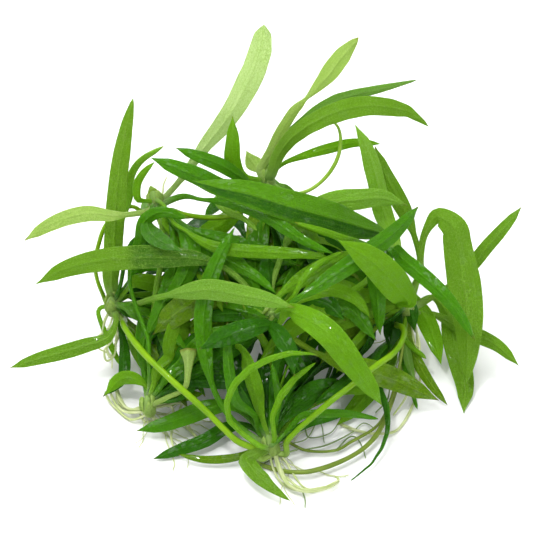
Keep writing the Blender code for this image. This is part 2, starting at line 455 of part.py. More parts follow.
class Strand:
    """A leaf, a runner, a root or a crown's core: sections along a path, in sight coordinates."""

    def __init__(self, path, half, thick, hosts, roll=None, fold=0.0, fixed=False):
        self.path, self.half, self.thick, self.fold, self.hosts = path, half, thick, fold, hosts
        self.roll = np.zeros(len(path)) if roll is None else roll
        along = np.concatenate([[0], np.cumsum(np.linalg.norm(np.diff(path, axis=0), axis=1))])
        far = np.full(len(path), FAR)
        self.clear = (along if hosts[0] else far, along[-1] - along if hosts[1] else far)
        self.loose = np.clip(np.minimum(*self.clear) / LOOSE_AFTER, 0, 1) * (not fixed)

    def frames(self):
        """Unit vectors across the blade and out of its face, at each section."""
        tangent = unit(np.gradient(self.path, axis=0))
        side = unit(np.cross([0.0, 0.0, 1.0], tangent))
        face = np.cross(tangent, side)
        turn, lift = np.cos(self.roll)[:, None], np.sin(self.roll)[:, None]
        return turn * side + lift * face, turn * face - lift * side


def blade_half_widths(shares, width, blade_from):
    """Half widths along a leaf: a narrow petiole that opens into a lance shape with a pointed tip."""
    blade = np.clip((shares - blade_from) / (1 - blade_from), 0, 1)
    lance = 0.5 * width * np.sin(math.pi * blade**WIDEST_EARLY) ** BLADE_FULLNESS
    petiole = 0.5 * PETIOLE_WIDE * np.clip((1 - shares) / TIP_SHARE, 0, 1)
    return np.maximum(lance, petiole)


def leaf_strand(leaf, foot):
    """A leaf's strand, from the foot of its petiole on its crown to its tip."""
    route = np.concatenate([foot, on_sight(leaf.route)])
    shares = station_shares(route, LEAF_STEP, 8, 15, (0.012, 0.035))
    half = blade_half_widths(shares, leaf.width, leaf.blade_from)
    thick = np.interp(shares, (0, leaf.blade_from, 1), (PETIOLE_THICK, BLADE_THICK, TIP_THICK)) / 2
    roll = np.radians(np.interp(shares, (0, 1), leaf.roll))
    return Strand(smooth_route(route, shares), half, thick, (leaf.crown, None), roll, BLADE_FOLD)


def crown_frame(crown):
    """A crown's centre and axis in sight coordinates, with two unit vectors square to the axis."""
    centre = on_sight([(crown.across, crown.down, crown.height)])[0]
    axis = unit(from_world(crown.axis))
    first = unit(np.cross(axis, TURN_START))
    return centre, axis, first, np.cross(axis, first)


def spread_angles(angles, least):
    """The angles round a circle, pushed apart until no two are nearer than the least allowed."""
    order = np.argsort(angles)
    spread = angles[order]
    least = min(least, 0.98 * 2 * math.pi / len(angles))
    for _ in range(200):
        gaps = np.diff(np.append(spread, spread[0] + 2 * math.pi))
        push = np.clip(least - gaps, 0, None) / 2
        spread = spread - push + np.roll(push, 1)
    placed = np.empty(len(angles))
    placed[order] = spread
    return placed


def outward_ways(crown, aims, least):
    """A unit vector out of the crown's axis for each of the points aimed at, none too near another."""
    centre, _, first, second = crown_frame(crown)
    aims = np.asarray(aims) - centre
    angles = spread_angles(np.arctan2(aims @ second, aims @ first), least)
    return np.cos(angles)[:, None] * first + np.sin(angles)[:, None] * second


def petiole_feet(crown, leaves, young):
    """The first two points of each leaf: round the crown, or out of its heart for a young one."""
    centre, axis, _, _ = crown_frame(crown)
    aims = [on_sight(leaf.route[:2]).mean(axis=0) for leaf in leaves]
    feet = []
    for number, outward in enumerate(outward_ways(crown, aims, BASE_SPACING / BASE_REACH)):
        grown = FOOT_OUTSIDE if number < len(leaves) - young else FOOT_IN_HEART
        feet.append(np.array([centre + out * outward + up * axis for out, up in grown]))
    return feet


def tube_ends():
    """Where each runner and root meets its crowns, in their order round each crown."""
    ends = {}
    for crown_name, crown in CROWNS.items():
        centre, axis, _, _ = crown_frame(crown)
        meets = [(name, 0) for name, tube in TUBES.items() if tube.start == crown_name]
        meets += [(name, -1) for name, tube in TUBES.items() if tube.end == crown_name]
        if not meets:
            continue
        aims = [on_sight(TUBES[name].route)[place] for name, place in meets]
        ways = outward_ways(crown, aims, TUBE_SPACING / TUBE_REACH)
        for (name, place), outward in zip(meets, ways):
            reach = TUBE_REACH + 0.5 * TUBES[name].radius
            ends[name, place] = centre + reach * outward + TUBE_LEVEL * axis
    return ends


def tube_strand(name, tube, ends):
    """A runner's or a root's strand, which starts and ends just clear of its crowns."""
    before = [ends[name, 0][None]] if tube.start else []
    after = [ends[name, -1][None]] if tube.end else []
    route = np.concatenate([*before, on_sight(tube.route), *after])
    shares = station_shares(route, TUBE_STEP, 6, 20, (0.01, 0.01))
    radius = tube.radius * np.interp(shares, (0, 0.75, 1), (1, 1, 1 if tube.end else FREE_END_SHARE))
    return Strand(smooth_route(route, shares), radius, radius, (tube.start, tube.end))


def crown_strand(name, crown):
    """A crown's outline for the spacing of what passes it."""
    centre, axis, _, _ = crown_frame(crown)
    along, radius = np.array(CROWN_PROFILE).T
    return Strand(centre + along[:, None] * axis, radius, radius, (name, name), fixed=True)


def strand_samples(strand):
    """Places over a strand: its station, its point on the sheet, and its depth range about its path."""
    side, face = strand.frames()
    last = len(strand.path) - 1
    station = np.linspace(0, last, last * SAMPLES_ALONG + 1)
    low = np.minimum(station.astype(int), last - 1)
    part = (station - low)[:, None]

    def between(values):
        return values[low] * (1 - part) + values[low + 1] * part

    path, side, face = between(strand.path), unit(between(side)), unit(between(face))
    half = between(strand.half[:, None])[:, 0] + EDGE_MARGIN
    thick = between(strand.thick[:, None])[:, 0]
    samples = []
    for across in np.linspace(-1, 1, SAMPLES_ACROSS):
        wing = across * half * math.cos(strand.fold)
        lift = abs(across) * half * math.sin(strand.fold)
        point = path + wing[:, None] * side + lift[:, None] * face
        body = thick * (1 - 0.7 * abs(across))
        offset = point[:, 2] - path[:, 2]
        samples.append(np.stack([station, point[:, 0], point[:, 1], offset - body, offset + body], axis=1))
    return np.concatenate(samples)


def sheet_cells(strands):
    """Where the strands lie on the sheet, one entry for each strand in each cell, in cell order."""
    samples = [strand_samples(strand) for strand in strands]
    owner = np.repeat(np.arange(len(strands)), [len(rows) for rows in samples])
    station, right, up, deep, high = np.concatenate(samples).T
    cell = np.floor(right / CELL + SHEET_CELLS / 2) * SHEET_CELLS + np.floor(up / CELL + SHEET_CELLS / 2)
    key, entry = np.unique(cell * len(strands) + owner, return_inverse=True)
    count = np.bincount(entry)
    entries = {
        "cell": np.floor(key / len(strands)), "owner": (key % len(strands)).astype(int),
        "station": np.bincount(entry, station) / count, "up": np.bincount(entry, up) / count,
        "high": np.full(len(key), -FAR), "deep": np.full(len(key), FAR),
    }
    drift = path_depths(strands, owner, station) - path_depths(
        strands, entries["owner"], entries["station"])[entry]
    np.maximum.at(entries["high"], entry, high + drift)
    np.minimum.at(entries["deep"], entry, deep + drift)
    return entries


def first_stations(strands):
    """Where each strand starts in an array that holds every strand's stations end to end."""
    return np.cumsum([0] + [len(strand.path) for strand in strands])


def station_places(strands, owner, station):
    """The place before each station in such an array, and how far past it the station is."""
    starts = first_stations(strands)
    low = np.minimum(station.astype(int), np.diff(starts)[owner] - 2)
    return starts[owner] + low, station - low


def path_depths(strands, owner, station):
    """Depth of each strand's midline at the stations given."""
    depth = np.concatenate([strand.path[:, 2] for strand in strands])
    place, part = station_places(strands, owner, station)
    return depth[place] * (1 - part) + depth[place + 1] * part


def crossings(strands, entries):
    """Pairs of entries that share a cell, apart from those near a crown that both grow from."""
    cell, owner = entries["cell"], entries["owner"]
    pairs = []
    for shift in range(1, len(strands)):
        same = np.nonzero(cell[shift:] == cell[:-shift])[0]
        pairs.append(np.stack([same, same + shift], axis=1))
    first, second = np.concatenate(pairs).T
    crowns = {name: number for number, name in enumerate(CROWNS)}
    hosts = np.array([[crowns.get(host, -1 - n) for host in s.hosts] for n, s in enumerate(strands)])
    place = first_stations(strands)[owner] + entries["station"].round().astype(int)
    clear = [np.concatenate([strand.clear[end] for strand in strands])[place] for end in range(2)]
    grown_together = np.zeros(len(first), bool)
    for i in range(2):
        for j in range(2):
            shared = hosts[owner[first], i] == hosts[owner[second], j]
            grown_together |= shared & (clear[i][first] < SHARED_BASE) & (clear[j][second] < SHARED_BASE)
    return first[~grown_together], second[~grown_together]


def slide_apart(strands, entries, front, back):
    """The depth of every station once crossing strands are clear of each other and of the table."""
    starts = first_stations(strands)
    loose = np.concatenate([strand.loose for strand in strands])
    depth = np.concatenate([strand.path[:, 2] for strand in strands])
    start_depth = depth.copy()
    place, part = station_places(strands, entries["owner"], entries["station"])
    high, deep = entries["high"], entries["deep"]
    table = -entries["up"] * RUN / RISE
    bends = loose > 0
    for _ in range(SLIDE_STEPS):
        middle = depth[place] * (1 - part) + depth[place + 1] * part
        lack = middle[back] + high[back] + CLEARANCE - middle[front] - deep[front]
        lack = np.clip(lack, 0, LARGEST_SLIDE)
        under = np.clip(table - middle - deep, 0, None)
        rise, sink, lift = np.zeros((3, len(depth)))
        for into, at, push in ((rise, front, lack), (sink, back, lack)):
            np.maximum.at(into, place[at], push * (1 - part[at]))
            np.maximum.at(into, place[at] + 1, push * part[at])
        np.maximum.at(lift, place, under)
        np.maximum.at(lift, place + 1, under)
        depth = depth + loose * (SLIDE_SHARE * (rise - sink) + LIFT_SHARE * lift)
        moved = depth - start_depth
        bend = np.zeros(len(depth))
        bend[1:-1] = moved[:-2] - 2 * moved[1:-1] + moved[2:]
        bend[starts[:-1]] = 0
        bend[starts[1:] - 1] = moved[starts[1:] - 2] - moved[starts[1:] - 1]
        depth = depth + EASE_SHARE * bend * bends
    return depth


def comb(strands):
    """Slide strands along the line of sight until each lies clear before or behind those it crosses.

    Which of two strands is in front is settled at the first sweep that finds them crossing.
    """
    leads = np.zeros((len(strands), len(strands)))
    for _ in range(SWEEPS):
        entries = sheet_cells(strands)
        first, second = crossings(strands, entries)
        owner = entries["owner"]
        middle = path_depths(strands, owner, entries["station"])
        found = np.zeros_like(leads)
        np.add.at(found, (owner[first], owner[second]), middle[first] - middle[second])
        leads = np.where(leads == 0, found, leads)
        ahead = leads[owner[first], owner[second]] >= 0
        front, back = np.where(ahead, first, second), np.where(ahead, second, first)
        depth = slide_apart(strands, entries, front, back)
        for strand, start in zip(strands, first_stations(strands)):
            strand.path[:, 2] = depth[start:start + len(strand.path)]


def make_material(name, finish):
    colour, roughness = FINISHES[finish]
    material = bpy.data.materials.new(name)
    material.use_nodes = True
    surface = material.node_tree.nodes["Principled BSDF"]
    surface.inputs["Base Color"].default_value = (*colour, 1)
    surface.inputs["Roughness"].default_value = roughness
    surface.inputs["Metallic"].default_value = 0
    material.diffuse_color = (*colour, 1)
    return material


def make_object(name, points, faces, finish):
    """An object from millimetre points, none of them below the table."""
    points = np.array(points) * MM
    points[:, 2] = np.maximum(points[:, 2], 0)
    mesh = bpy.data.meshes.new(name)
    mesh.from_pydata(points.tolist(), [], faces)
    mesh.materials.append(make_material(name, finish))
    mesh.shade_smooth()
    made = bpy.data.objects.new(name, mesh)
    bpy.context.collection.objects.link(made)
    return made


def skin_faces(rings, sides):
    """Triangles of a closed tube: rings of equal size between a first and a last point."""
    faces = []
    last = 1 + rings * sides
    for side in range(sides):
        after = (side + 1) % sides
        faces.append((0, 1 + after, 1 + side))
        for ring in range(rings - 1):
            here, there = 1 + ring * sides, 1 + (ring + 1) * sides
            faces.append((here + side, here + after, there + side))
            faces.append((here + after, there + after, there + side))
        end = last - sides
        faces.append((end + side, end + after, last))
    return faces


def leaf_object(name, strand, finish):
    """A leaf as four-cornered sections: two sharp edges and a raised line on each face."""
    side, face = (ways[1:-1] for ways in strand.frames())
    path, half, thick = strand.path[1:-1], strand.half[1:-1, None], strand.thick[1:-1, None]
    wing, lift = half * math.cos(strand.fold), half * math.sin(strand.fold)
    corners = (path + wing * side + lift * face, path + thick * face,
               path - wing * side + lift * face, path - thick * face)
    rings = np.stack(corners, axis=1).reshape(-1, 3)
    points = np.concatenate([strand.path[:1], rings, strand.path[-1:]])
    return make_object(name, to_world(points), skin_faces(len(path), len(corners)), finish)


def tube_object(name, strand, finish):
    """A runner or a root as six-sided sections."""
    side, face = (ways[1:-1, None] for ways in strand.frames())
    angles = (np.arange(TUBE_SIDES) * 2 * math.pi / TUBE_SIDES)[None, :, None]
    path, radius = strand.path[1:-1, None], strand.half[1:-1, None, None]
    rings = path + radius * (np.cos(angles) * side + np.sin(angles) * face)
    points = np.concatenate([strand.path[:1], rings.reshape(-1, 3), strand.path[-1:]])
    return make_object(name, to_world(points), skin_faces(len(path), TUBE_SIDES), finish)


def crown_object(name, crown):
    """A crown as a turned bulb. One that stands on the table has a foot, cut off flat there."""
    centre, axis, first, second = crown_frame(crown)
    foot = ((-FOOT_SLANT * crown.height, FOOT_RADIUS),) if crown.stands else ()
    along, radius = np.array(foot + CROWN_PROFILE).T
    angles = (np.arange(CROWN_SIDES) * 2 * math.pi / CROWN_SIDES)[None, :, None]
    turned = np.cos(angles) * first + np.sin(angles) * second
    rings = centre + along[:, None, None] * axis + radius[:, None, None] * turned
    bottom, top = centre + (along[0] - 0.1) * axis, centre + (along[-1] + 0.5) * axis
    points = np.concatenate([[bottom], rings.reshape(-1, 3), [top]])
    return make_object(name, to_world(points), skin_faces(len(along), CROWN_SIDES), "crown")


def grow_together(body, others):
    """Join the others into one solid with the body."""
    for other in others:
        union = body.modifiers.new(other.name, "BOOLEAN")
        union.operation, union.solver, union.object = "UNION", "EXACT", other
        other.hide_render = True
        other.display_type = "WIRE"


def young_names(crown_name):
    return [f"young_{crown_name}_{place + 1}" for place in range(len(YOUNG_LEAVES[crown_name]))]


def lay_strands():
    """Every strand of the clump by name, each with its final place among the others."""
    strands = {}
    for crown_name, crown in CROWNS.items():
        strands["crown_" + crown_name] = crown_strand(crown_name, crown)
        grown = {"leaf_" + name: leaf for name, leaf in LEAVES.items() if leaf.crown == crown_name}
        young = dict(zip(young_names(crown_name), YOUNG_LEAVES[crown_name]))
        feet = petiole_feet(crown, [*grown.values(), *young.values()], len(young))
        for foot, (name, leaf) in zip(feet, [*grown.items(), *young.items()]):
            strands[name] = leaf_strand(leaf, foot)
    ends = tube_ends()
    for name, tube in TUBES.items():
        strands[name] = tube_strand(name, tube, ends)
    comb(list(strands.values()))
    return strands


def main():
    for old in list(bpy.data.objects):
        bpy.data.objects.remove(old, do_unlink=True)

    strands = lay_strands()
    for name, leaf in LEAVES.items():
        leaf_object("leaf_" + name, strands["leaf_" + name], leaf.finish)
    for name, tube in TUBES.items():
        tube_object(name, strands[name], tube.finish)
    for crown_name, crown in CROWNS.items():
        body = crown_object("crown_" + crown_name, crown)
        young = zip(young_names(crown_name), YOUNG_LEAVES[crown_name])
        grow_together(body, [leaf_object(name, strands[name], leaf.finish) for name, leaf in young])


main()
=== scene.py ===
"""Dwarf chain sword, Helanthium bolivianum 'Quadricostatus': how the tangled clump looks."""

import math

import bpy
import numpy as np
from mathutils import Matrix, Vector


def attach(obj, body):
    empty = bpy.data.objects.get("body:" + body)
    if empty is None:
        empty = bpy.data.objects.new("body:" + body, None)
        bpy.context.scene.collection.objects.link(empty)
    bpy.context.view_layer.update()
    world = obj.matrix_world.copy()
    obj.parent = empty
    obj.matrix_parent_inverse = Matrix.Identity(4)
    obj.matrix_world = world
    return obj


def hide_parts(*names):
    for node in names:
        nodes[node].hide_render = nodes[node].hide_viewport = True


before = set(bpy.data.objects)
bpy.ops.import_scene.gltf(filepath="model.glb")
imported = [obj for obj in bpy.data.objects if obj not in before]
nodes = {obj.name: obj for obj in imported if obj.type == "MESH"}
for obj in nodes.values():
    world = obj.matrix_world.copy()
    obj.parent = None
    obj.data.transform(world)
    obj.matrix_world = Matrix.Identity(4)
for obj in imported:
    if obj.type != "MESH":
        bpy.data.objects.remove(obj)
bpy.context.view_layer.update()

MM = 0.001


# Runners. Each is a long smooth stem, thick as a match, that grew out of one crown and rooted as the
# next. It is wet, yellow-green and faintly ribbed along its length, and it arches over the leaves.

RUNNER_COLOUR, RUNNER_DEEP = (134, 178, 22), (98, 148, 12)
PALE_RUNNER_COLOUR, PALE_RUNNER_DEEP = (160, 196, 76), (126, 170, 40)
OLIVE_RUNNER_COLOUR, OLIVE_RUNNER_DEEP = (136, 158, 62), (98, 124, 40)
RUNNER_END = (186, 210, 128)
RUNNER_ROWS_MM, RUNNER_AROUND = 0.6, 16
RUNNER_SLIMNESS = 0.8   # drawn radius as a share of the solid's


def linear(red, green, blue):
    """A screen colour, 0 to 255, as the linear colour that a shader takes."""
    share = np.array([red, green, blue]) / 255
    return (*np.where(share <= 0.04045, share / 12.92, ((share + 0.055) / 1.055) ** 2.4), 1.0)


def unit(vectors):
    """Rows of numbers as vectors of length 1."""
    return vectors / np.maximum(np.linalg.norm(vectors, axis=-1, keepdims=True), 1e-12)


def welded(node):
    """A node's corners, each once, in millimetres, and for each the set of those it is joined to."""
    mesh = nodes[node].data
    raw = np.empty(len(mesh.vertices) * 3, np.float32)
    mesh.vertices.foreach_get("co", raw)
    near = np.round(raw.reshape(-1, 3).astype(float) / MM, 3)
    corners, own = np.unique(near, axis=0, return_inverse=True)
    pairs = np.empty(len(mesh.edges) * 2, int)
    mesh.edges.foreach_get("vertices", pairs)
    joined = [set() for _ in corners]
    for first, second in own.ravel()[pairs.reshape(-1, 2)]:
        if first != second:
            joined[first].add(int(second))
            joined[second].add(int(first))
    return corners, joined


def tips(joined):
    """The corners at which a strand ends: every corner round them has five others about it."""
    return [place for place, near in enumerate(joined) if near and all(len(joined[n]) == 5 for n in near)]


def rings_from(tip, joined, size):
    """The strand's sections in order from its tip, each a list of that many corners."""
    rings, seen, edge = [], {tip}, sorted(joined[tip])
    while len(edge) == size:
        rings.append(edge)
        seen.update(edge)
        edge = sorted({n for place in edge for n in joined[place]} - seen)
    return rings, edge


def steps_along(path):
    """The distance from each place of a path to the next."""
    return np.linalg.norm(np.diff(path, axis=0), axis=1)


def smooth_through(values, count):
    """Rows read evenly from the smooth curve through rows of values whose first three are a place.

    Each span is a cubic that leaves and meets its ends at the slopes there (centripetal spacing).
    """
    steps = np.diff(values, axis=0)
    spans = np.maximum(np.linalg.norm(steps[:, :3], axis=1) ** 0.5, 1e-6)[:, None]
    slopes = steps / spans
    inner = (slopes[:-1] * spans[1:] + slopes[1:] * spans[:-1]) / (spans[:-1] + spans[1:])
    tangents = np.concatenate([slopes[:1], inner, slopes[-1:]])
    t = np.linspace(0, 1, 17)[None, :, None]
    start, end, width = values[:-1, None], values[1:, None], spans[:, None]
    curve = ((2 * t**3 - 3 * t**2 + 1) * start + (t**3 - 2 * t**2 + t) * width * tangents[:-1, None]
             + (3 * t**2 - 2 * t**3) * end + (t**3 - t**2) * width * tangents[1:, None])
    curve = curve.reshape(-1, values.shape[1])
    length = np.concatenate([[0], np.cumsum(steps_along(curve[:, :3]))])
    places = np.linspace(0, length[-1], count)
    return np.stack([np.interp(places, length, column) for column in curve.T], axis=1), length[-1]


def frames_along(path, side):
    """Unit vectors across a path and out of its face, square to it, kept near the sides given."""
    tangent = unit(np.gradient(path, axis=0))
    side = unit(side - (side * tangent).sum(axis=1, keepdims=True) * tangent)
    return side, np.cross(tangent, side)


def placed(name, data):
    """A new object of the scene that holds the data given."""
    thing = bpy.data.objects.new(name, data)
    bpy.context.scene.collection.objects.link(thing)
    return thing


def skin(name, shells, finish):
    """One closed mesh for each shell, all in one piece.

    A shell is a grid of places, rows along it and columns round it, whose first and last rows are
    drawn together in a point, with a value at each place for each pattern that its finish reads.
    """
    points, faces3, faces4, values, start = [], [], [], {key: [] for key in shells[0]["values"]}, 0
    for shell in shells:
        grid = shell["grid"]
        rows, columns = grid.shape[:2]
        ends = grid[0].mean(axis=0)[None], grid[-1].mean(axis=0)[None]
        points += [ends[0], grid.reshape(-1, 3), ends[1]]
        place = start + 1 + np.arange(rows * columns).reshape(rows, columns)
        after = np.roll(place, -1, axis=1)
        faces4.append(np.stack([place[:-1], after[:-1], after[1:], place[1:]], axis=-1).reshape(-1, 4))
        first, last = np.full(columns, start), np.full(columns, start + 1 + rows * columns)
        faces3 += [np.stack([first, after[0], place[0]], axis=-1),
                   np.stack([last, place[-1], after[-1]], axis=-1)]
        for key, value in shell["values"].items():
            value = np.broadcast_to(value, (rows, columns))
            values[key] += [value[0].mean()[None], value.ravel(), value[-1].mean()[None]]
        start += rows * columns + 2
    points, faces3, faces4 = np.concatenate(points) * MM, np.concatenate(faces3), np.concatenate(faces4)
    mesh = bpy.data.meshes.new(name)
    mesh.vertices.add(len(points))
    mesh.vertices.foreach_set("co", points.astype(np.float32).ravel())
    corners = np.concatenate([faces3.ravel(), faces4.ravel()]).astype(np.int32)
    mesh.loops.add(len(corners))
    mesh.loops.foreach_set("vertex_index", corners)
    sizes = np.concatenate([np.full(len(faces3), 3), np.full(len(faces4), 4)])
    mesh.polygons.add(len(sizes))
    mesh.polygons.foreach_set("loop_start", (np.cumsum(sizes) - sizes).astype(np.int32))
    mesh.update(calc_edges=True)
    mesh.shade_smooth()
    for key, value in values.items():
        layer = mesh.attributes.new(key, "FLOAT", "POINT")
        layer.data.foreach_set("value", np.concatenate(value).astype(np.float32))
    mesh.materials.append(finish)
    piece = placed(name, mesh)
    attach(piece, "root")
    return piece


def stem_shell(path, radius, rows_mm, around, ribs=0, rib_depth=0.0, wander=0.0, seed=0, open_end=False):
    """A round stem along a path: circles square to it, drawn in as a square root at closed ends.

    Its ribs are a cosine of the turn. It wanders from the path, and swells, as sines of the length.
    """
    values = np.column_stack([path, radius])
    length = steps_along(path).sum()
    rows, length = smooth_through(values, max(int(length / rows_mm), 8))
    path, radius = rows[:, :3], rows[:, 3]
    along = np.linspace(0, length, len(path))
    swing = np.random.default_rng(seed).uniform(0, 2 * math.pi, 3)
    tangent = unit(np.gradient(path, axis=0))
    side, face = frames_along(path, np.cross(tangent, [0.31, 0.17, 0.93]))
    path = path + wander * (np.sin(along / 2.3 + swing[0])[:, None] * side
                            + np.sin(along / 1.7 + swing[1])[:, None] * face)
    end = along if open_end else np.minimum(along, length - along)
    radius = radius * np.sqrt(np.clip(end / radius, 0.02, 1)) * (1 + 0.06 * np.sin(along / 3.1 + swing[2]))
    turn = np.arange(around) * 2 * math.pi / around
    out = radius[:, None] * (1 + rib_depth * np.cos(ribs * turn)[None])
    grid = (path[:, None] + (out * np.cos(turn))[..., None] * side[:, None]
            + (out * np.sin(turn))[..., None] * face[:, None])
    grid[..., 2] = np.maximum(grid[..., 2], 0.02)
    return {"grid": grid, "values": {
        "across": np.broadcast_to(np.cos(turn * 3), out.shape), "along": along[:, None],
        "share": (along / length)[:, None], "tone": swing[0] / 6.3, "wide": radius[:, None]}}


class Shade:
    """A socket of a finish's node tree. Sums on it add Math nodes, and add() makes any other node."""

    def __init__(self, tree, socket=None):
        self.tree, self.socket = tree, socket

    def add(self, kind, settings=None, inputs=None, output=0):
        """A node of the kind, its settings made first, then its sockets' values or links."""
        node = self.tree.nodes.new(kind)
        for name, value in (settings or {}).items():
            setattr(node, name, value)
        for name, value in (inputs or {}).items():
            if isinstance(value, Shade):
                self.tree.links.new(value.socket, node.inputs[name])
            else:
                node.inputs[name].default_value = value
        return Shade(self.tree, node.outputs[output] if node.outputs else None)

    def maths(self, operation, *values):
        """A Math node of the operation."""
        return self.add("ShaderNodeMath", {"operation": operation}, dict(enumerate(values)))

    def __add__(self, other):
        return self.maths("ADD", self, other)

    def __sub__(self, other):
        return self.maths("SUBTRACT", self, other)

    def __rsub__(self, other):
        return self.maths("SUBTRACT", other, self)

    def __mul__(self, other):
        return self.maths("MULTIPLY", self, other)

    __radd__, __rmul__ = __add__, __mul__

    def size(self):
        """The value without its sign."""
        return self.maths("ABSOLUTE", self)

    def kept(self):
        """The value kept between 0 and 1."""
        return self.add("ShaderNodeClamp", None, {"Value": self})

    def step(self, low, high):
        """0 below low, 1 above high and a smooth rise between them."""
        return self.add("ShaderNodeMapRange", {"interpolation_type": "SMOOTHSTEP"},
                        {"Value": self, "From Min": low, "From Max": high})

    def line(self, middle, half):
        """1 where the value is at the middle, falling to 0 at half a line's width from it."""
        return 1 - (self - middle).size().step(0, half)

    def read(self, name):
        """A value that the mesh keeps at each of its places."""
        return self.add("ShaderNodeAttribute", {"attribute_name": name}, output="Fac")

    def noise(self, where, scale, detail=2.0):
        """Soft noise over a vector, about so many spots to its unit."""
        return self.add("ShaderNodeTexNoise", None, {"Vector": where, "Scale": scale, "Detail": detail})

    def place(self, *parts):
        """A vector of up to three values."""
        return self.add("ShaderNodeCombineXYZ", None, dict(enumerate(parts)))

    def mix(self, first, second):
        """The first colour where this is 0 and the second where it is 1."""
        return self.add("ShaderNodeMix", {"data_type": "RGBA"}, {0: self, 6: first, 7: second}, output=2)


def blank_finish(name):
    """A material with an empty node tree, and the start of its sums."""
    material = bpy.data.materials.new(name)
    material.use_nodes = True
    material.node_tree.nodes.clear()
    return material, Shade(material.node_tree)


def thin_surface(paint, colour, rough, height, bump, glow, through, wet):
    """A wet surface that lets some light through: a coated shader mixed with a translucent one."""
    normal = paint.add("ShaderNodeBump", None, {"Height": height, "Strength": bump, "Distance": 0.00025})
    outside = paint.add("ShaderNodeBsdfPrincipled", None, {
        "Base Color": colour, "Roughness": rough, "Normal": normal, "Coat Weight": wet,
        "Coat Roughness": 0.07, "Specular IOR Level": 0.1})
    inside = paint.add("ShaderNodeBsdfTranslucent", None, {"Color": glow, "Normal": normal})
    both = paint.add("ShaderNodeMixShader", None, {0: through, 1: outside, 2: inside})
    paint.add("ShaderNodeOutputMaterial", None, {"Surface": both})


def runner_finish(name, colour, deep):
    """Fine streaks along the stem, a deeper colour in patches, and a wet film."""
    material, paint = blank_finish(name)
    across, along = paint.read("across"), paint.read("along")
    streaks = paint.noise(paint.place(across * 2.5, along * 0.25, paint.read("tone") * 40), 3.0)
    patches = paint.noise(paint.add("ShaderNodeTexCoord", output="Object"), 160.0)
    shade = (streaks * 0.5 + patches * 0.9 - 0.2).step(0.2, 0.85).mix(linear(*colour), linear(*deep))
    ends = (paint.read("share") - 0.5).size().step(0.36, 0.5) * 0.65
    shade = ends.mix(shade, linear(*RUNNER_END))
    thin_surface(paint, shade, streaks * 0.2 + 0.25, streaks, 0.35, linear(*colour), 0.25, 0.25)
    return material


def strand_route(node, size):
    """A runner's or a root's middle line and radius at each of its sections, end to end."""
    corners, joined = welded(node)
    ends = tips(joined)
    rings, edge = rings_from(ends[0], joined, size)
    middles = np.array([corners[ring].mean(axis=0) for ring in rings])
    spread = [np.linalg.norm(corners[ring] - middle, axis=1).mean() for ring, middle in zip(rings, middles)]
    route = np.concatenate([corners[ends[:1]], middles, corners[edge]])
    return route, np.array([spread[0], *spread, spread[-1]])


# The place of each crown, as the construction has it: across, down and height on a sheet that is
# square to a sight line 45 degrees above the table, all in millimetres, and the way it grows.
CROWNS = {
    "front": ((68, 111.25, 4.5), (-0.25, 0.1, 1)),
    "left": ((28.75, 76.75, 14), (-0.2, -0.1, 1)),
    "upper_left": ((39.5, 51, 34), (-0.3, 0.1, 1)),
    "right": ((101.25, 77.75, 13), (0.25, -0.1, 1)),
    "top": ((66.5, 46, 36), (0.1, 0.2, 1)),
    "middle": ((67.5, 79.5, 27), (0.1, -0.4, 1)),
    "low_left": ((37.5, 101.5, 4.5), (-0.1, 0, 1)),
    "right_inner": ((95.5, 66.5, 19), (0.2, -0.2, 1)),
    "back": ((62.5, 64.4, 7), (0, 0.3, 1)),
}
SIGHT = math.radians(45)
SHEET_MID, FORWARD = (66.5, 75.0), 21.3
# How near a strand's end lies to its crown, and where along the crown's way a strand and a petiole start
CROWN_NEAR_MM, STRAND_START_MM, PETIOLE_START_MM = 6, -1.5, -0.6
STRAND_FOOT_SWELL = 1.15


def off_sheet(measures):
    """Sheet measures (across, down, height) as places in the frame, in millimetres."""
    across, down, height = np.asarray(measures, float).reshape(-1, 3).T
    up = SHEET_MID[1] - down
    near = (height - up * math.cos(SIGHT)) / math.sin(SIGHT)
    back = up * math.sin(SIGHT) - near * math.cos(SIGHT) + FORWARD
    return np.stack([across - SHEET_MID[0], back, height], axis=1)


crown_places = np.concatenate([off_sheet(measures) for measures, _ in CROWNS.values()])
crown_ways = unit(np.array([way for _, way in CROWNS.values()], float))


def into_crown(end, below):
    """A place inside the crown nearest to a strand's end, if one is near, for the strand to grow from."""
    far = np.linalg.norm(crown_places - end, axis=1)
    near = far.argmin()
    return crown_places[near] + below * crown_ways[near] if far[near] < CROWN_NEAR_MM else None


def grown_in(route, radius):
    """A route and its radii, carried on into the crowns that its ends come from."""
    for _ in range(2):
        inside = into_crown(route[0], STRAND_START_MM)
        if inside is not None:
            route = np.concatenate([inside[None], route[1:]])
            radius = np.append(radius[0] * STRAND_FOOT_SWELL, radius[1:])
        route, radius = route[::-1], radius[::-1]
    return route, radius


def runner_shell(route, radius):
    """A stem with five low ribs along it."""
    return stem_shell(route, radius, RUNNER_ROWS_MM, RUNNER_AROUND, ribs=5, rib_depth=0.04)


green_runner = runner_finish("green_runner", RUNNER_COLOUR, RUNNER_DEEP)
pale_runner = runner_finish("pale_runner", PALE_RUNNER_COLOUR, PALE_RUNNER_DEEP)
olive_runner = runner_finish("olive_runner", OLIVE_RUNNER_COLOUR, OLIVE_RUNNER_DEEP)
for node in sorted(nodes):
    if node.startswith("runner_"):
        finish = {"runner_loop": pale_runner, "runner_ground": olive_runner}.get(node, green_runner)
        route, radius = grown_in(*strand_route(node, 6))
        shell = runner_shell(route, radius * RUNNER_SLIMNESS)
        piece = skin(node.removeprefix("runner_") + "_runner", [shell], finish)
        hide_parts(node)


# Roots. They are fleshy, pale cream-green threads that grow from the foot of a crown, a few together,
# and wind about each other, soft and a little see-through. Finer ones and hair roots spread round them.

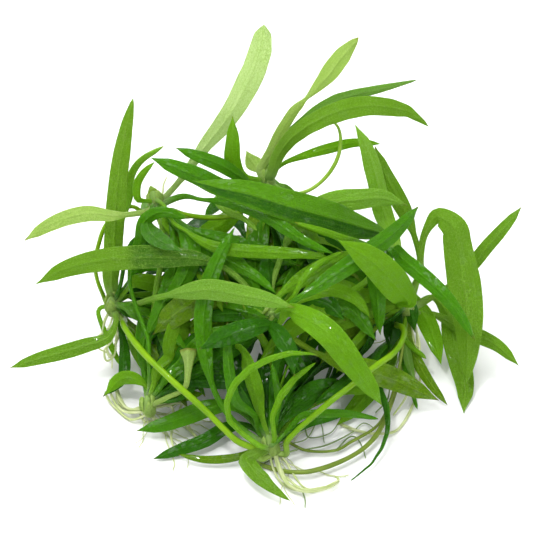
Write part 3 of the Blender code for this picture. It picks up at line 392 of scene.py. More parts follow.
ROOT_COLOUR, ROOT_DEEP = (222, 228, 184), (178, 196, 122)
GREEN_ROOT_COLOUR, GREEN_ROOT_DEEP = (158, 180, 124), (112, 140, 80)
THREAD_MM, THREAD_ROWS_MM, THREAD_AROUND = 0.36, 0.5, 10
BUNDLE_ABOVE_MM, BUNDLE_THREADS = 0.7, 3   # a root with a larger radius is a bundle of threads


def root_finish(name, pale, deep):
    """Pale, with greener stretches and fine rings, under a thin film of water."""
    material, paint = blank_finish(name)
    along = paint.read("along")
    stretches = paint.noise(paint.place(along * 0.12, paint.read("tone") * 30), 2.0)
    rings = paint.noise(paint.place(along * 1.4, paint.read("across") * 0.6), 2.0)
    colour = (stretches * 1.2 + rings * 0.3 - 0.3).step(0.1, 0.8).mix(linear(*pale), linear(*deep))
    thin_surface(paint, colour, rings * 0.2 + 0.3, rings, 0.3, linear(*pale), 0.4, 0.35)
    return material


def wound_threads(route, radius, count, seed):
    """Threads that wind round a bundle's middle line, each a slow helix of uneven pitch."""
    rng = np.random.default_rng(seed)
    rows, length = smooth_through(np.column_stack([route, radius]), max(len(route) * 3, 12))
    path, reach = rows[:, :3], rows[:, 3:]
    share = np.linspace(0, 1, len(path))[:, None]
    side, face = frames_along(path, np.cross(unit(np.gradient(path, axis=0)), [0.2, 0.3, 0.9]))
    threads = []
    for turn in rng.uniform(0, 2 * math.pi, count):
        twist = turn + length / rng.uniform(9, 14) * share * 2 + 0.8 * np.sin(share * 9 + turn)
        out = np.clip(reach - 0.6 * THREAD_MM, 0.1, None) * (0.7 + 0.5 * share)
        thread = path + out * (np.cos(twist) * side + np.sin(twist) * face)
        taper = np.interp(share[:, 0], (0, 0.7, 1), (1.1, 0.85, 0.45))
        thickness = THREAD_MM * rng.uniform(0.8, 1.15) * taper
        threads.append(stem_shell(thread, thickness, THREAD_ROWS_MM, THREAD_AROUND, seed=int(turn * 1000)))
    return threads


pale_root = root_finish("pale_root", ROOT_COLOUR, ROOT_DEEP)
green_root = root_finish("green_root", GREEN_ROOT_COLOUR, GREEN_ROOT_DEEP)
for number, node in enumerate(sorted(nodes)):
    if node.startswith("root_"):
        route, radius = grown_in(*strand_route(node, 6))
        count = BUNDLE_THREADS if radius.max() > BUNDLE_ABOVE_MM else 1
        threads = wound_threads(route, radius, count, number)
        piece = skin(node.removeprefix("root_") + "_root", threads, pale_root)
        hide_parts(node)

# The finer roots, by the crown that each bundle grows from: radius, then sheet measures along it
FINE_ROOTS = {
    "front": (
        (0.36, ((68, 111, 4), (69.25, 115.75, 2.5), (70.75, 118.75, 1.8), (73, 120.75, 1.4),
                (76.25, 121.75, 1.2), (80, 121, 1.3), (83, 120.25, 1.0), (84.25, 119, 0.8),
                (83.3, 118.4, 1.0))),
        (0.32, ((68.5, 111, 4), (71.25, 114.5, 2.6), (73, 117.5, 1.8), (76.5, 121.2, 0.9),
                (81, 121.4, 0.7))),
        (0.3, ((67.5, 111.5, 3.5), (68, 116, 1.6), (70, 119.5, 0.9), (74, 121.8, 0.6), (78.5, 122.2, 0.5))),
        (0.2, ((75.5, 121.5, 1), (76.2, 124, 0.5), (76, 126.2, 0.4))),
        (0.22, ((74.5, 111.75, 1.5), (70, 113.4, 1), (65.5, 115.5, 0.8), (63.25, 119.25, 0.6))),
        (0.2, ((69.5, 111, 3), (74, 108, 1.6), (75.75, 106, 1), (77, 108.75, 0.6), (82, 108, 0.6),
               (85, 104.5, 0.8))),
        (0.18, ((70, 111, 2.4), (76, 109.5, 1), (79.5, 105, 0.9), (81, 110.25, 0.6))),
        (0.2, ((76, 112, 1.2), (82, 110.5, 0.8), (88, 107.5, 0.6), (90.75, 105.5, 0.6), (93.75, 107, 0.5))),
        (0.2, ((83.5, 112, 1), (88, 108.75, 0.6), (90.5, 111.5, 0.5), (91.25, 114, 0.4)))),
    "low_left": (
        (0.38, ((38, 101.3, 4.3), (43, 101.25, 4), (43.6, 105, 2.5), (43, 108.75, 1.5), (44.5, 113.5, 0.6))),
        (0.32, ((38.2, 101, 4.8), (45.5, 100, 5), (45, 102.5, 3.5), (46.25, 105.5, 2),
                (49.25, 108.75, 0.9))),
        (0.28, ((38.2, 101.6, 4.2), (46, 100.75, 4.5), (46.75, 103.75, 2.5), (49.25, 108.5, 1.2),
                (52, 110, 0.6))),
        (0.36, ((37.2, 102, 4), (31.75, 101.5, 2.2), (29.3, 97, 2.4), (29.5, 93.5, 3))),
        (0.36, ((37.2, 102.6, 3.6), (31.4, 102.6, 1.6), (28, 98, 1.4), (27.7, 94.5, 1.8))),
        (0.34, ((37.4, 103.2, 3.2), (33, 104.4, 1), (28.8, 101.4, 0.8), (26.6, 97.5, 0.8))),
        (0.26, ((37.2, 102.8, 3.2), (35.25, 103, 2), (36.5, 105.2, 1), (38.2, 104.75, 0.8),
                (38.4, 106.5, 0.5)))),
    "left": (
        (0.32, ((28, 77.5, 13), (26.3, 80.5, 12), (26, 83.3, 10.5), (28.3, 84.8, 9.5), (26.5, 87.5, 8.5),
                (27, 90, 7.5), (29, 88.5, 8), (29.3, 84, 9.5), (29.6, 80, 11.5))),
        (0.26, ((28.5, 78, 12.5), (27.4, 82, 11.2), (24.8, 84.2, 10.2), (25, 87, 9), (28, 88.8, 8),
                (28.4, 92, 6.4)))),
    "right": (
        (0.42, ((101, 78.5, 12), (100.5, 81, 11), (101.75, 84.5, 9.4), (104.5, 86.75, 8))),
        (0.36, ((102, 78.5, 11.8), (103, 84.25, 9), (102.2, 89, 6.6))),
        (0.34, ((102.4, 78.8, 11.6), (104.5, 85.5, 8.5), (103.75, 92, 5.5), (101, 99, 2.4),
                (98, 103.6, 0.7))),
        (0.24, ((101.5, 79, 11.4), (100.2, 87, 7.4), (97.4, 95, 4), (96.4, 100, 1.6), (93.6, 103, 0.6)))),
    "upper_left": (
        (0.4, ((39.3, 51, 35), (39.2, 49.2, 36), (37.6, 48.9, 35.6), (37.4, 50.3, 34.6))),
        (0.28, ((40, 50.5, 35), (40.8, 48.2, 36), (41, 46.2, 37), (41.9, 44.2, 37.6)))),
}
# How many hair roots a crown has, and the way they go over the table
HAIRS = {"front": (7, (0.6, -0.1)), "low_left": (16, (0.8, -0.3)), "right": (5, (-0.4, -0.8))}
HAIR_RADIUS_MM, HAIR_LENGTH_MM, HAIR_STEPS = (0.09, 0.16), (9.0, 22.0), 26
GREEN_BELOW_MM = 0.25   # a finer root than this radius is greener


def hair_root(start, heading, rng):
    """A hair-thin root that falls from a crown's foot to the table and wanders over it.

    Its direction turns by a running sum of small chances, and its height falls away exponentially.
    """
    turn = math.atan2(heading[1], heading[0]) + rng.uniform(-0.9, 0.9)
    turn = turn + np.cumsum(rng.normal(0, 0.2, HAIR_STEPS))
    step = rng.uniform(*HAIR_LENGTH_MM) / HAIR_STEPS
    over = np.cumsum(np.stack([np.cos(turn), np.sin(turn)], axis=1) * step, axis=0)
    fall = start[2] * np.exp(-np.arange(HAIR_STEPS) / 5)
    height = fall + rng.uniform(0.2, 0.7) * (1 + np.sin(turn * 2)) / 2 + 0.15
    path = np.column_stack([start[:2] + over, height])
    radius = np.full(HAIR_STEPS, rng.uniform(*HAIR_RADIUS_MM))
    return stem_shell(path, radius, 0.7, 6, seed=int(step * 1e6))


for number, (crown, roots) in enumerate(FINE_ROOTS.items()):
    pale_shells, green_shells = [], []
    for place, (radius, measures) in enumerate(roots):
        route = off_sheet(measures)
        thickness = radius * np.linspace(1.05, 0.7, len(route))
        shell = stem_shell(route, thickness, 0.4, 8, wander=0.12, seed=10 * number + place)
        (green_shells if radius < GREEN_BELOW_MM else pale_shells).append(shell)
    count, heading = HAIRS.get(crown, (0, (0, 0)))
    rng = np.random.default_rng(number)
    foot = off_sheet(CROWNS[crown][0])[0]
    pale_shells += [hair_root(foot + [*rng.uniform(-1, 1, 2), -1.5], heading, rng) for _ in range(count)]
    skin(crown + "_fine_roots", pale_shells, pale_root)
    if green_shells:
        skin(crown + "_green_roots", green_shells, green_root)

# A second runner lies on the table in front and goes up to the crown at the right
GROUND_RUNNER = ((68.5, 110.5, 4), (70.75, 109.5, 2.5), (76.25, 112, 1.3), (83.75, 112, 1.1),
                 (87.5, 110, 1.2),
                 (93.75, 106.25, 1.4), (96, 103, 2.5), (98.5, 96, 6), (100.5, 86, 10), (101.25, 79, 12.5))
GROUND_RUNNER_RADIUS_MM = 0.38
route = off_sheet(GROUND_RUNNER)
shell = runner_shell(route, np.full(len(route), GROUND_RUNNER_RADIUS_MM))
piece = skin("second_ground_runner", [shell], olive_runner)


# Grown leaves. Each is a thin strap or lance-shaped blade on a long petiole that clasps the crown with
# a sheath at its foot. The midrib is sunk on top and stands out below, with finer veins beside it.

LEAF_FINISHES = {
    # base, vein, the light that comes through, the share that does, roughness, wet film, bright flecks (the
    # leaf's own mottling and painted wet highlights)
    # pale and backlit: base colours painted light, standing for the light that shines through the leaves
    # from behind; backlit also gives the sheaths and the shoot their own pale colour
    "pale": ((206, 229, 160), (156, 192, 96), (216, 236, 170), 0.5, 0.5, 0.0, 0.9),
    "backlit": ((164, 198, 98), (196, 220, 138), (206, 230, 120), 0.5, 0.5, 0.0, 0.7),
    "light": ((130, 184, 50), (174, 214, 100), (178, 222, 56), 0.46, 0.45, 0.15, 0.5),
    "mid": ((108, 155, 28), (152, 194, 78), (160, 204, 38), 0.46, 0.43, 0.2, 0.5),
    "fresh": ((112, 168, 14), (150, 206, 58), (166, 216, 20), 0.46, 0.4, 0.3, 0.4),
    "olive": ((98, 142, 2), (142, 180, 50), (136, 182, 4), 0.34, 0.28, 0.6, 0.4),
    "blue": ((112, 162, 58), (162, 198, 118), (166, 208, 80), 0.46, 0.45, 0.1, 0.3),
    "dark": ((76, 142, 4), (114, 178, 44), (122, 192, 4), 0.42, 0.34, 0.5, 0.25),
    "deep": ((48, 112, 2), (84, 150, 28), (86, 160, 2), 0.36, 0.32, 0.5, 0.2),
    # shade: painted shade, for leaves low in the clump and in the dark gaps between leaves
    "shade": ((28, 82, 0), (60, 122, 16), (54, 124, 0), 0.3, 0.32, 0.5, 0.2),
    # two_tone: one half of the blade painted in shade
    "two_tone": ((88, 148, 14), (112, 168, 44), (100, 172, 8), 0.34, 0.34, 0.25, 0.12),
    "glint": ((70, 132, 26), (120, 176, 72), (104, 168, 40), 0.4, 0.12, 1.0, 0.25),
}
SLOTS = {name: "leaf_" + name for name in LEAF_FINISHES}
SLOTS.update(backlit="leaf_light", fresh="leaf_mid", half_shaded="leaf_mid", glint="leaf_olive",
             two_tone="leaf_deep", shade="leaf_deep")
# The leaves of each finish
LEAVES_OF = {
    "pale": "bright_top",
    "backlit": "mid_top mid_left",
    "light": "small_upright centre_light right_top_light right_mid",
    "mid": "tall_left low_left arch_lower right_top right_hang right_tip right_low bottom_tip right_fold",
    "fresh": "front_broad front_arc inner_diagonal arc_light arc_light_short",
    "half_shaded": "left_long",
    "olive": "olive_broad glint_broad under_runner",
    "blue": "arch_upper",
    "dark": "centre_up front_right_hang dark_narrow dark_top dark_top_low right_long_dark bottom_left "
            "thin_up folded_over right_spear",
    "deep": "bottom_left_low thin_hang",
    "two_tone": "big_dark",
}
LEAF_ROWS_MM = 0.7
BLADE_HALF_THICK, PETIOLE_HALF_THICK = 0.17, 0.5
PETIOLE_HALF_MM = 0.75
CLASP_MM = (2.2, 1.7)   # whole widths of a petiole's foot in and above its crown
# Places across the upper side of a blade, from one edge to the other; the lower side has the same
ACROSS = np.array([-1, -0.97, -0.88, -0.74, -0.56, -0.36, -0.18, -0.07, 0,
                   0.07, 0.18, 0.36, 0.56, 0.74, 0.88, 0.97, 1])

FOOT_COLOUR, DRY_TIP_COLOUR = (204, 224, 160), (128, 112, 48)


def leaf_finish(name, colour, vein, glow, through, rough, wet, bright, shaded_half=0.0, shaded_foot=0.0):
    """Fine lengthwise veins, a net of cells, bright flecks that are partly painted wet highlights, a thin
    light edge line and uneven colour.

    The blade is painted darker, as shade, on one side of its midrib, or towards its foot, by the shares
    given.
    The sheath at its foot is pale, and some tips are dry and brown.
    """
    material, paint = blank_finish(name)
    across, along, wide = paint.read("across"), paint.read("along"), paint.read("wide")
    share, tone = paint.read("share"), paint.read("tone")
    inside, off_mid = across.size(), across * wide
    midrib = off_mid.line(0, 0.2)
    veins = inside.line(0.3, 0.04) + inside.line(0.58, 0.035) + inside.line(0.82, 0.03) * 0.6
    sheet = paint.place(off_mid, along, tone * 50)
    net = paint.add("ShaderNodeTexVoronoi", {"feature": "DISTANCE_TO_EDGE"}, {
        "Vector": paint.place(off_mid * 2.6, along * 1.1, tone * 50), "Scale": 1.0,
        "Randomness": 0.9}).step(0.0, 0.16)
    streaks = paint.noise(paint.place(off_mid * 1.6, along * 0.14, tone * 50), 2.2, 3.0)
    speckle = paint.noise(sheet, 3.4, 3.0)
    # Bright flecks: partly the leaf's own mottling, partly painted highlights on its wet skin
    flecks = paint.noise(sheet, 2.4, 2.0).step(0.56, 0.68)
    threads = paint.noise(paint.place(off_mid * 1.3, along * 0.8, tone * 50), 1.5, 2.0).line(0.5, 0.035)
    patches = paint.noise(paint.place(off_mid * 0.2, along * 0.12, tone * 50), 1.0)
    light = midrib * 0.35 + veins * 0.2 + (1 - net) * (0.2 + 0.5 * bright) + inside.step(0.9, 0.98) * 0.3
    light = light + (flecks + threads) * patches.step(0.3, 0.6) * bright
    light = light + (1 - share).step(0.64, 0.97) * 0.6 + streaks * 0.7 - 0.4
    deep = (patches * 0.6 + speckle * 1.1 + tone * 0.4 - 0.75).step(0, 1) * 0.9
    # One half of the blade is painted in shade, the half turned from the light
    if shaded_half:
        far_side = across * -1
        half_shade_mask = far_side.step(0.02, 0.16) * (1 - far_side.step(0.6, 0.95) * 0.7)
        deep = deep * 0.3 + half_shade_mask * shaded_half
    # A painted shadow over the part towards the foot, where another leaf lies behind it
    if shaded_foot:
        deep = deep + (1 - share).step(0.36, 0.42) * shaded_foot
    deeper = np.array([0.66, 0.76, 0.7]) - np.array([0.18, 0.1, 0.1]) * (shaded_half + shaded_foot)
    base = deep.kept().mix(linear(*colour), linear(*(deeper * colour)))
    shade = light.kept().mix(base, linear(*vein))
    shade = ((1 - share).step(0.85, 1.0) * 0.8).mix(shade, linear(*FOOT_COLOUR))
    shade = (share.step(0.965, 0.995) * tone.step(0.5, 0.6) * 0.8).mix(shade, linear(*DRY_TIP_COLOUR))
    height = net * 0.5 + speckle * 0.5 + streaks * 0.5 + threads * 0.5 + flecks * 0.6
    height = height - midrib * 0.6 - veins * 0.3
    film = paint.noise(sheet, 0.7, 2.0).step(0.46, 0.58) * wet if wet else 0.0
    dull = speckle * 0.3 + (rough - 0.12)
    dull = dull * (1 - film * 0.7) if wet else dull
    thin_surface(paint, shade, dull, height, 0.8, linear(*glow), through, film)
    return material


def leaf_sections(corners, rings, tip):
    """Place, way across, half width and face of a leaf at each section, from its tip."""
    rows = []
    for ring in rings:
        four = corners[ring]
        apart = np.linalg.norm(four[:, None] - four[None], axis=2)
        first, second = divmod(int(apart.argmax()), 4)
        ridge = [place for place in range(4) if place not in (first, second)]
        edge, middle = (four[first] + four[second]) / 2, four[ridge].mean(axis=0)
        rows.append((middle, four[first] - four[second], edge - middle))
    path, across, lift = (np.array(part) for part in zip(*rows))
    for place in range(1, len(across)):
        if (across[place] * across[place - 1]).sum() < 0:
            across[place] *= -1
    tangent = np.gradient(np.concatenate([corners[tip][None], path]), axis=0)[1:]
    if (np.cross(tangent, across) * lift).sum() < 0:
        across = -across
    return np.concatenate([corners[tip][None], path]), np.concatenate([across[:1] * 0.05, across])


def blade_shell(path, across, seed, rows_mm=LEAF_ROWS_MM, sides=ACROSS, full=(1.15, 0.85), least=None,
                taper=1.8):
    """A leaf from its foot to its tip: a lens-shaped section carried along the path.

    The half width is that of the sections, as a share of the widest raised to one power towards the
    foot and a lower one, which is fuller, towards the tip. The blade is thin and its halves rise
    from the midrib, and its edges wave gently. The petiole is nearly round.
    """
    rng = np.random.default_rng(seed)
    length = steps_along(path).sum()
    half = np.linalg.norm(across, axis=1) / 2
    rows = np.column_stack([path, unit(across), half])
    rows, length = smooth_through(rows, int(np.clip(length / rows_mm, 14, 110)))
    along = np.linspace(0, length, len(rows))
    path, half = rows[:, :3], np.maximum(rows[:, 6], 0.05)
    power = np.where(along < along[half.argmax()], *full)
    least = least or PETIOLE_HALF_MM * (1 - 0.3 * (half.max() < 2))
    half = np.maximum(half.max() * (half / half.max()) ** power, least)
    half = half * np.clip((length - along) / (taper * half.max()), 0.01, 1) ** 0.6
    side, face = frames_along(path, rows[:, 3:6])
    blade = np.clip((half - PETIOLE_HALF_MM) / 1.1, 0, 1) * (along > 0.1 * length)
    swing = rng.uniform(0, 2 * math.pi, 4)
    roll = 0.12 * blade * np.sin(along / 9 + swing[0])
    side, face = (np.cos(roll)[:, None] * side + np.sin(roll)[:, None] * face,
                  np.cos(roll)[:, None] * face - np.sin(roll)[:, None] * side)
    c = np.concatenate([sides[::-1], sides[1:-1]])
    upper = np.concatenate([np.ones(len(sides)), -np.ones(len(sides) - 2)])
    upper[[0, len(sides) - 1]] = 0
    blade, half = blade[:, None], half[:, None]
    rib = np.exp(-((c / 0.1) ** 2))
    lens = 0.35 + 0.65 * (1 - c**2)
    round_ = np.sqrt(np.clip(1 - c**2, 0, 1))
    body = (blade * BLADE_HALF_THICK * (lens + rib * np.where(upper > 0, -0.6, 1.8))
            + (1 - blade) * np.minimum(PETIOLE_HALF_THICK, half) * round_)
    fold = half * (0.07 * blade + 0.03) * (np.sqrt(c**2 + 0.01) - 0.1)
    down = along[:, None]
    waves = np.sin(down / 3.1 + swing[1] + 0.9 * np.sign(c)) + np.sin(down / 1.9 + swing[2] * c)
    edge = 0.07 * blade * half * c**2 * waves
    out = fold + edge + upper * body
    grid = path[:, None] + (half * c * 0.98)[..., None] * side[:, None] + out[..., None] * face[:, None]
    grid[..., 2] = np.maximum(grid[..., 2], 0.02)
    return {"grid": grid, "values": {
        "across": np.broadcast_to(c, body.shape), "along": down, "share": down / length,
        "tone": rng.uniform(0, 1), "wide": half}}


def with_sheath(path, across):
    """A leaf's sections, foot first, carried on into its crown with a wider, clasping foot."""
    inside = into_crown(path[0], PETIOLE_START_MM)
    if inside is None:
        return path, across
    foot = np.linalg.norm(across[1])
    return (np.concatenate([inside[None], path[1:]]),
            np.concatenate([across[1:2] * (wide / foot) for wide in CLASP_MM] + [across[2:]]))


# Whole widths, in mm at shares of the length from the foot, of leaves that aren't plain lances, such as
# the spoon-shaped one at the top, one pinched at a knee below its blade, and the straps
OWN_WIDTHS_MM = {
    "leaf_bright_top": ((0, 1.7), (0.16, 1.6), (0.3, 2.6), (0.5, 5.0), (0.72, 6.3), (0.88, 5.9),
                        (0.96, 4.2), (1, 2)),
    "leaf_mid_top": ((0, 1.6), (0.12, 2.2), (0.3, 3.0), (0.5, 2.5), (0.57, 0.9), (0.63, 2.4), (0.76, 4.9),
                     (0.88, 4.4), (0.97, 2), (1, 0.6)),
    "leaf_tall_left": ((0, 1.6), (0.05, 2.8), (0.2, 4.8), (0.5, 5.0), (0.75, 4.5), (0.9, 2.8), (1, 0.6)),
    "leaf_thin_hang": ((0, 1.2), (0.2, 1.8), (0.35, 2.3), (0.55, 2.2), (0.72, 1.1), (0.85, 0.65), (1, 0.35)),
    "leaf_arch_upper": ((0, 2.4), (0.12, 3.0), (0.3, 3.5), (0.55, 3.3), (0.8, 2.1), (1, 0.4)),
    "leaf_arch_lower": ((0, 2.4), (0.15, 3.0), (0.35, 4.2), (0.6, 5.6), (0.8, 4.4), (0.94, 1.6), (1, 0.4)),
    "leaf_bottom_tip": ((0, 1.4), (0.2, 2.2), (0.45, 4.2), (0.65, 3.8), (0.85, 2.0), (1, 0.3)),
    "leaf_arc_light": ((0, 1.5), (0.3, 1.3), (0.6, 1.9), (0.85, 1.5), (1, 0.3)),
    "leaf_arc_light_short": ((0, 1.3), (0.35, 1.2), (0.65, 2.0), (0.9, 1.2), (1, 0.3)),
    "leaf_right_fold": ((0, 1.5), (0.2, 1.6), (0.33, 1.9), (0.4, 4.4), (0.47, 6.6), (0.65, 8.6),
                        (0.8, 8), (0.93, 4.2), (1, 0.6)),
}
# Their edges follow those widths to a narrow stalk and a short tip
OWN_SHAPE = {"full": (1.0, 1.0), "least": 0.16, "taper": 0.6}


def with_own_widths(node, path, across):
    """Sections whose widths are read from the leaf's own list."""
    share = np.concatenate([[0], np.cumsum(steps_along(path))])
    even = np.linspace(0, 1, 24)
    path, across = (np.stack([np.interp(even, share / share[-1], part) for part in rows.T], axis=1)
                    for rows in (path, unit(across)))
    shares, widths = np.array(OWN_WIDTHS_MM[node]).T
    return path, unit(across) * np.interp(even, shares, widths)[:, None]


leaf_finishes = {name: leaf_finish("leaf_" + name, *values, shaded_half=float(name == "two_tone"))
                 for name, values in LEAF_FINISHES.items()}
# left_long's finish, painted darker towards its foot as the shadow of the leaf behind it
leaf_finishes["half_shaded"] = leaf_finish("leaf_half_shaded", *LEAF_FINISHES["mid"], shaded_foot=1.0)
finish_of = {"leaf_" + leaf: name for name, leaves in LEAVES_OF.items() for leaf in leaves.split()}
for number, node in enumerate(sorted(nodes)):
    if node.startswith("leaf_"):
        corners, joined = welded(node)
        ends = tips(joined)
        far = [np.linalg.norm(crown_places - corners[end], axis=1).min() for end in ends]
        tip = ends[int(np.argmax(far))]
        rings, _ = rings_from(tip, joined, 4)
        path, across = leaf_sections(corners, rings, tip)
        path, across = with_sheath(path[::-1], across[::-1])
        shape = {}
        if node in OWN_WIDTHS_MM:
            path, across = with_own_widths(node, path, across)
            shape = OWN_SHAPE
        name = finish_of[node]
        blade = blade_shell(path, across, number, **shape)
        piece = skin(node.removeprefix("leaf_") + "_leaf", [blade], leaf_finishes[name])
        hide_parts(node)


# Crowns and their young leaves. A crown is a short, pale, fleshy stem, ringed by the sheaths of the
# petioles that grew from it, and the young leaves stand and droop all round it, in its own shade.

CROWN_COLOUR, CROWN_GREEN = (206, 222, 158), (140, 180, 84)
SHEATHS, SHEATH_MM = 5, 3.2
CROWN_SHAPE = ((-3.4, 0.5), (-2.6, 1.2), (-1.4, 1.6), (0.2, 1.8), (1.8, 1.5), (3.2, 0.9), (4.2, 0.4))
# Heights that paint light and shade: young leaves whose tips stand higher are given the lighter fresh finish
# as painted light, and leaves lower down in the middle of the clump darker finishes as painted shade
LIT_ABOVE_MM, SHADED_BELOW_MM = 36, 15
YOUNG_FINISHES = ("dark", "deep", "fresh", "deep", "fresh", "dark", "olive")
# From a crown's middle to the heart that leaves come out of, a young leaf's width there and least reach
HEART_MM, YOUNG_FOOT_MM, YOUNG_REACH_MM = 0.8, 1.6, 5
INNER_SEED, SMALL_SEED, SHEATH_SEED = 1000, 2000, 3000
# A sheath's shape: how far above its foot, how far out, and its width as a share of SHEATH_MM
SHEATH_SHAPE = np.array([(0, 0.9, 0.6), (1.4, 1.7, 0.9), (3.2, 1.85, 0.9), (4.6, 1.5, 0.7), (5.6, 1.2, 0.4)])


def crown_finish():
    """Fibrous and pale at the foot, greener towards the leaves."""
    material, paint = blank_finish("crown")
    across, along = paint.read("across"), paint.read("along")
    fibres = paint.noise(paint.place(across * 6, along * 0.2, paint.read("tone") * 20), 2.0, 4.0)
    colour = (fibres * 0.8 + paint.read("share") * 0.8 - 0.4).step(0, 0.9).mix(
        linear(*CROWN_COLOUR), linear(*CROWN_GREEN))
    thin_surface(paint, colour, fibres * 0.3 + 0.3, fibres, 0.6, linear(*CROWN_COLOUR), 0.3, 0.3)
    return material


# The clump's dome, as a middle and its reach each way, which the inner leaves fill to just below its
# top, and how many of them each crown has.
DOME_MIDDLE, DOME_REACH = np.array([0.0, 3.0, 5.0]), np.array([30.0, 33.0, 34.0])
INNER_LEAVES = {"front": 12, "left": 12, "upper_left": 12, "right": 14, "top": 10, "middle": 16,
                "low_left": 15, "right_inner": 13, "back": 15}
INNER_SIDES = np.array([-1, -0.93, -0.7, -0.38, -0.1, 0, 0.1, 0.38, 0.7, 0.93, 1])
INNER_LENGTHS_MM, INNER_HALF_MM = (15.0, 38.0), (1.8, 3.3)


# Openings in the clump that show the table: across, down and radius on the sheet, in millimetres
WINDOWS = np.array([(46, 51.2, 2), (50, 52.5, 2), (57, 53.5, 2), (60.5, 58.2, 1.2), (90, 100, 2.4),
                    (30.2, 102.2, 1.5), (109.2, 87.2, 1.8), (101.5, 98.5, 0.8), (35.7, 72.7, 0.8),
                    (100, 48, 1)])
WINDOW_MARGIN_MM = 2.2


def in_window(path, half):
    """Whether a path, with a half width, passes before or behind one of the openings."""
    up = (path[:, 1] - FORWARD) * math.sin(SIGHT) + path[:, 2] * math.cos(SIGHT)
    sheet = np.column_stack([path[:, 0] + SHEET_MID[0], SHEET_MID[1] - up])
    return (np.linalg.norm(sheet[:, None] - WINDOWS[:, :2], axis=2) < WINDOWS[:, 2] + half).any()


def lance(share, stalk):
    """A blade's width over its widest: a sine from the stalk's end to the tip, raised to be fuller."""
    return np.sin(np.clip((share - stalk) / (1 - stalk), 0.02, 0.97) * math.pi) ** 0.7


def inner_leaf(centre, way, rng):
    """A leaf that arches from its crown to a place inside the dome, and leaves the openings free."""
    while True:
        path, across = arched(centre, way, rng)
        if not in_window(path, WINDOW_MARGIN_MM):
            return path, across


def arched(centre, way, rng):
    """A leaf's route is a cubic between the crown, a place above it, one over the tip, and the tip."""
    while True:
        tip = DOME_MIDDLE + DOME_REACH * unit(rng.normal(size=3)) * rng.uniform(0.55, 0.97)
        reach = np.linalg.norm(tip - centre)
        fits = INNER_LENGTHS_MM[0] < reach < INNER_LENGTHS_MM[1]
        if fits and tip[2] > 1.5 and unit(tip - centre) @ way > -0.5:
            break
    out = unit((tip - centre) * [1, 1, 0.3])
    rise = np.clip(1.3 - centre[2] / 30, 0.1, 1)
    knots = [centre + HEART_MM * way, centre + (0.25 + 0.15 * rise) * reach * unit(rise * way + 0.7 * out),
             tip - 0.3 * reach * out + [0, 0, rng.uniform(0.1, 0.4) * reach], tip]
    t = np.linspace(0, 1, 12)[:, None]
    weights = (1 - t)**3, 3 * t * (1 - t)**2, 3 * t**2 * (1 - t), t**3
    path = sum(weight * knot for weight, knot in zip(weights, knots))
    from_middle = (path - DOME_MIDDLE) / DOME_REACH
    far = np.linalg.norm(from_middle, axis=1, keepdims=True)
    path = np.where((far > 0.97) & (t > 0.3), DOME_MIDDLE + DOME_REACH * from_middle / far * 0.97, path)
    path[:, 2] = np.maximum(path[:, 2], 0.8)
    outward = unit(from_middle / DOME_REACH) + 0.5 * rng.normal(size=3)
    across = unit(np.cross(np.gradient(path, axis=0), outward))
    wide = rng.uniform(*INNER_HALF_MM) * lance(t, 0.14)
    return path, across * 2 * np.maximum(wide, 0.5)
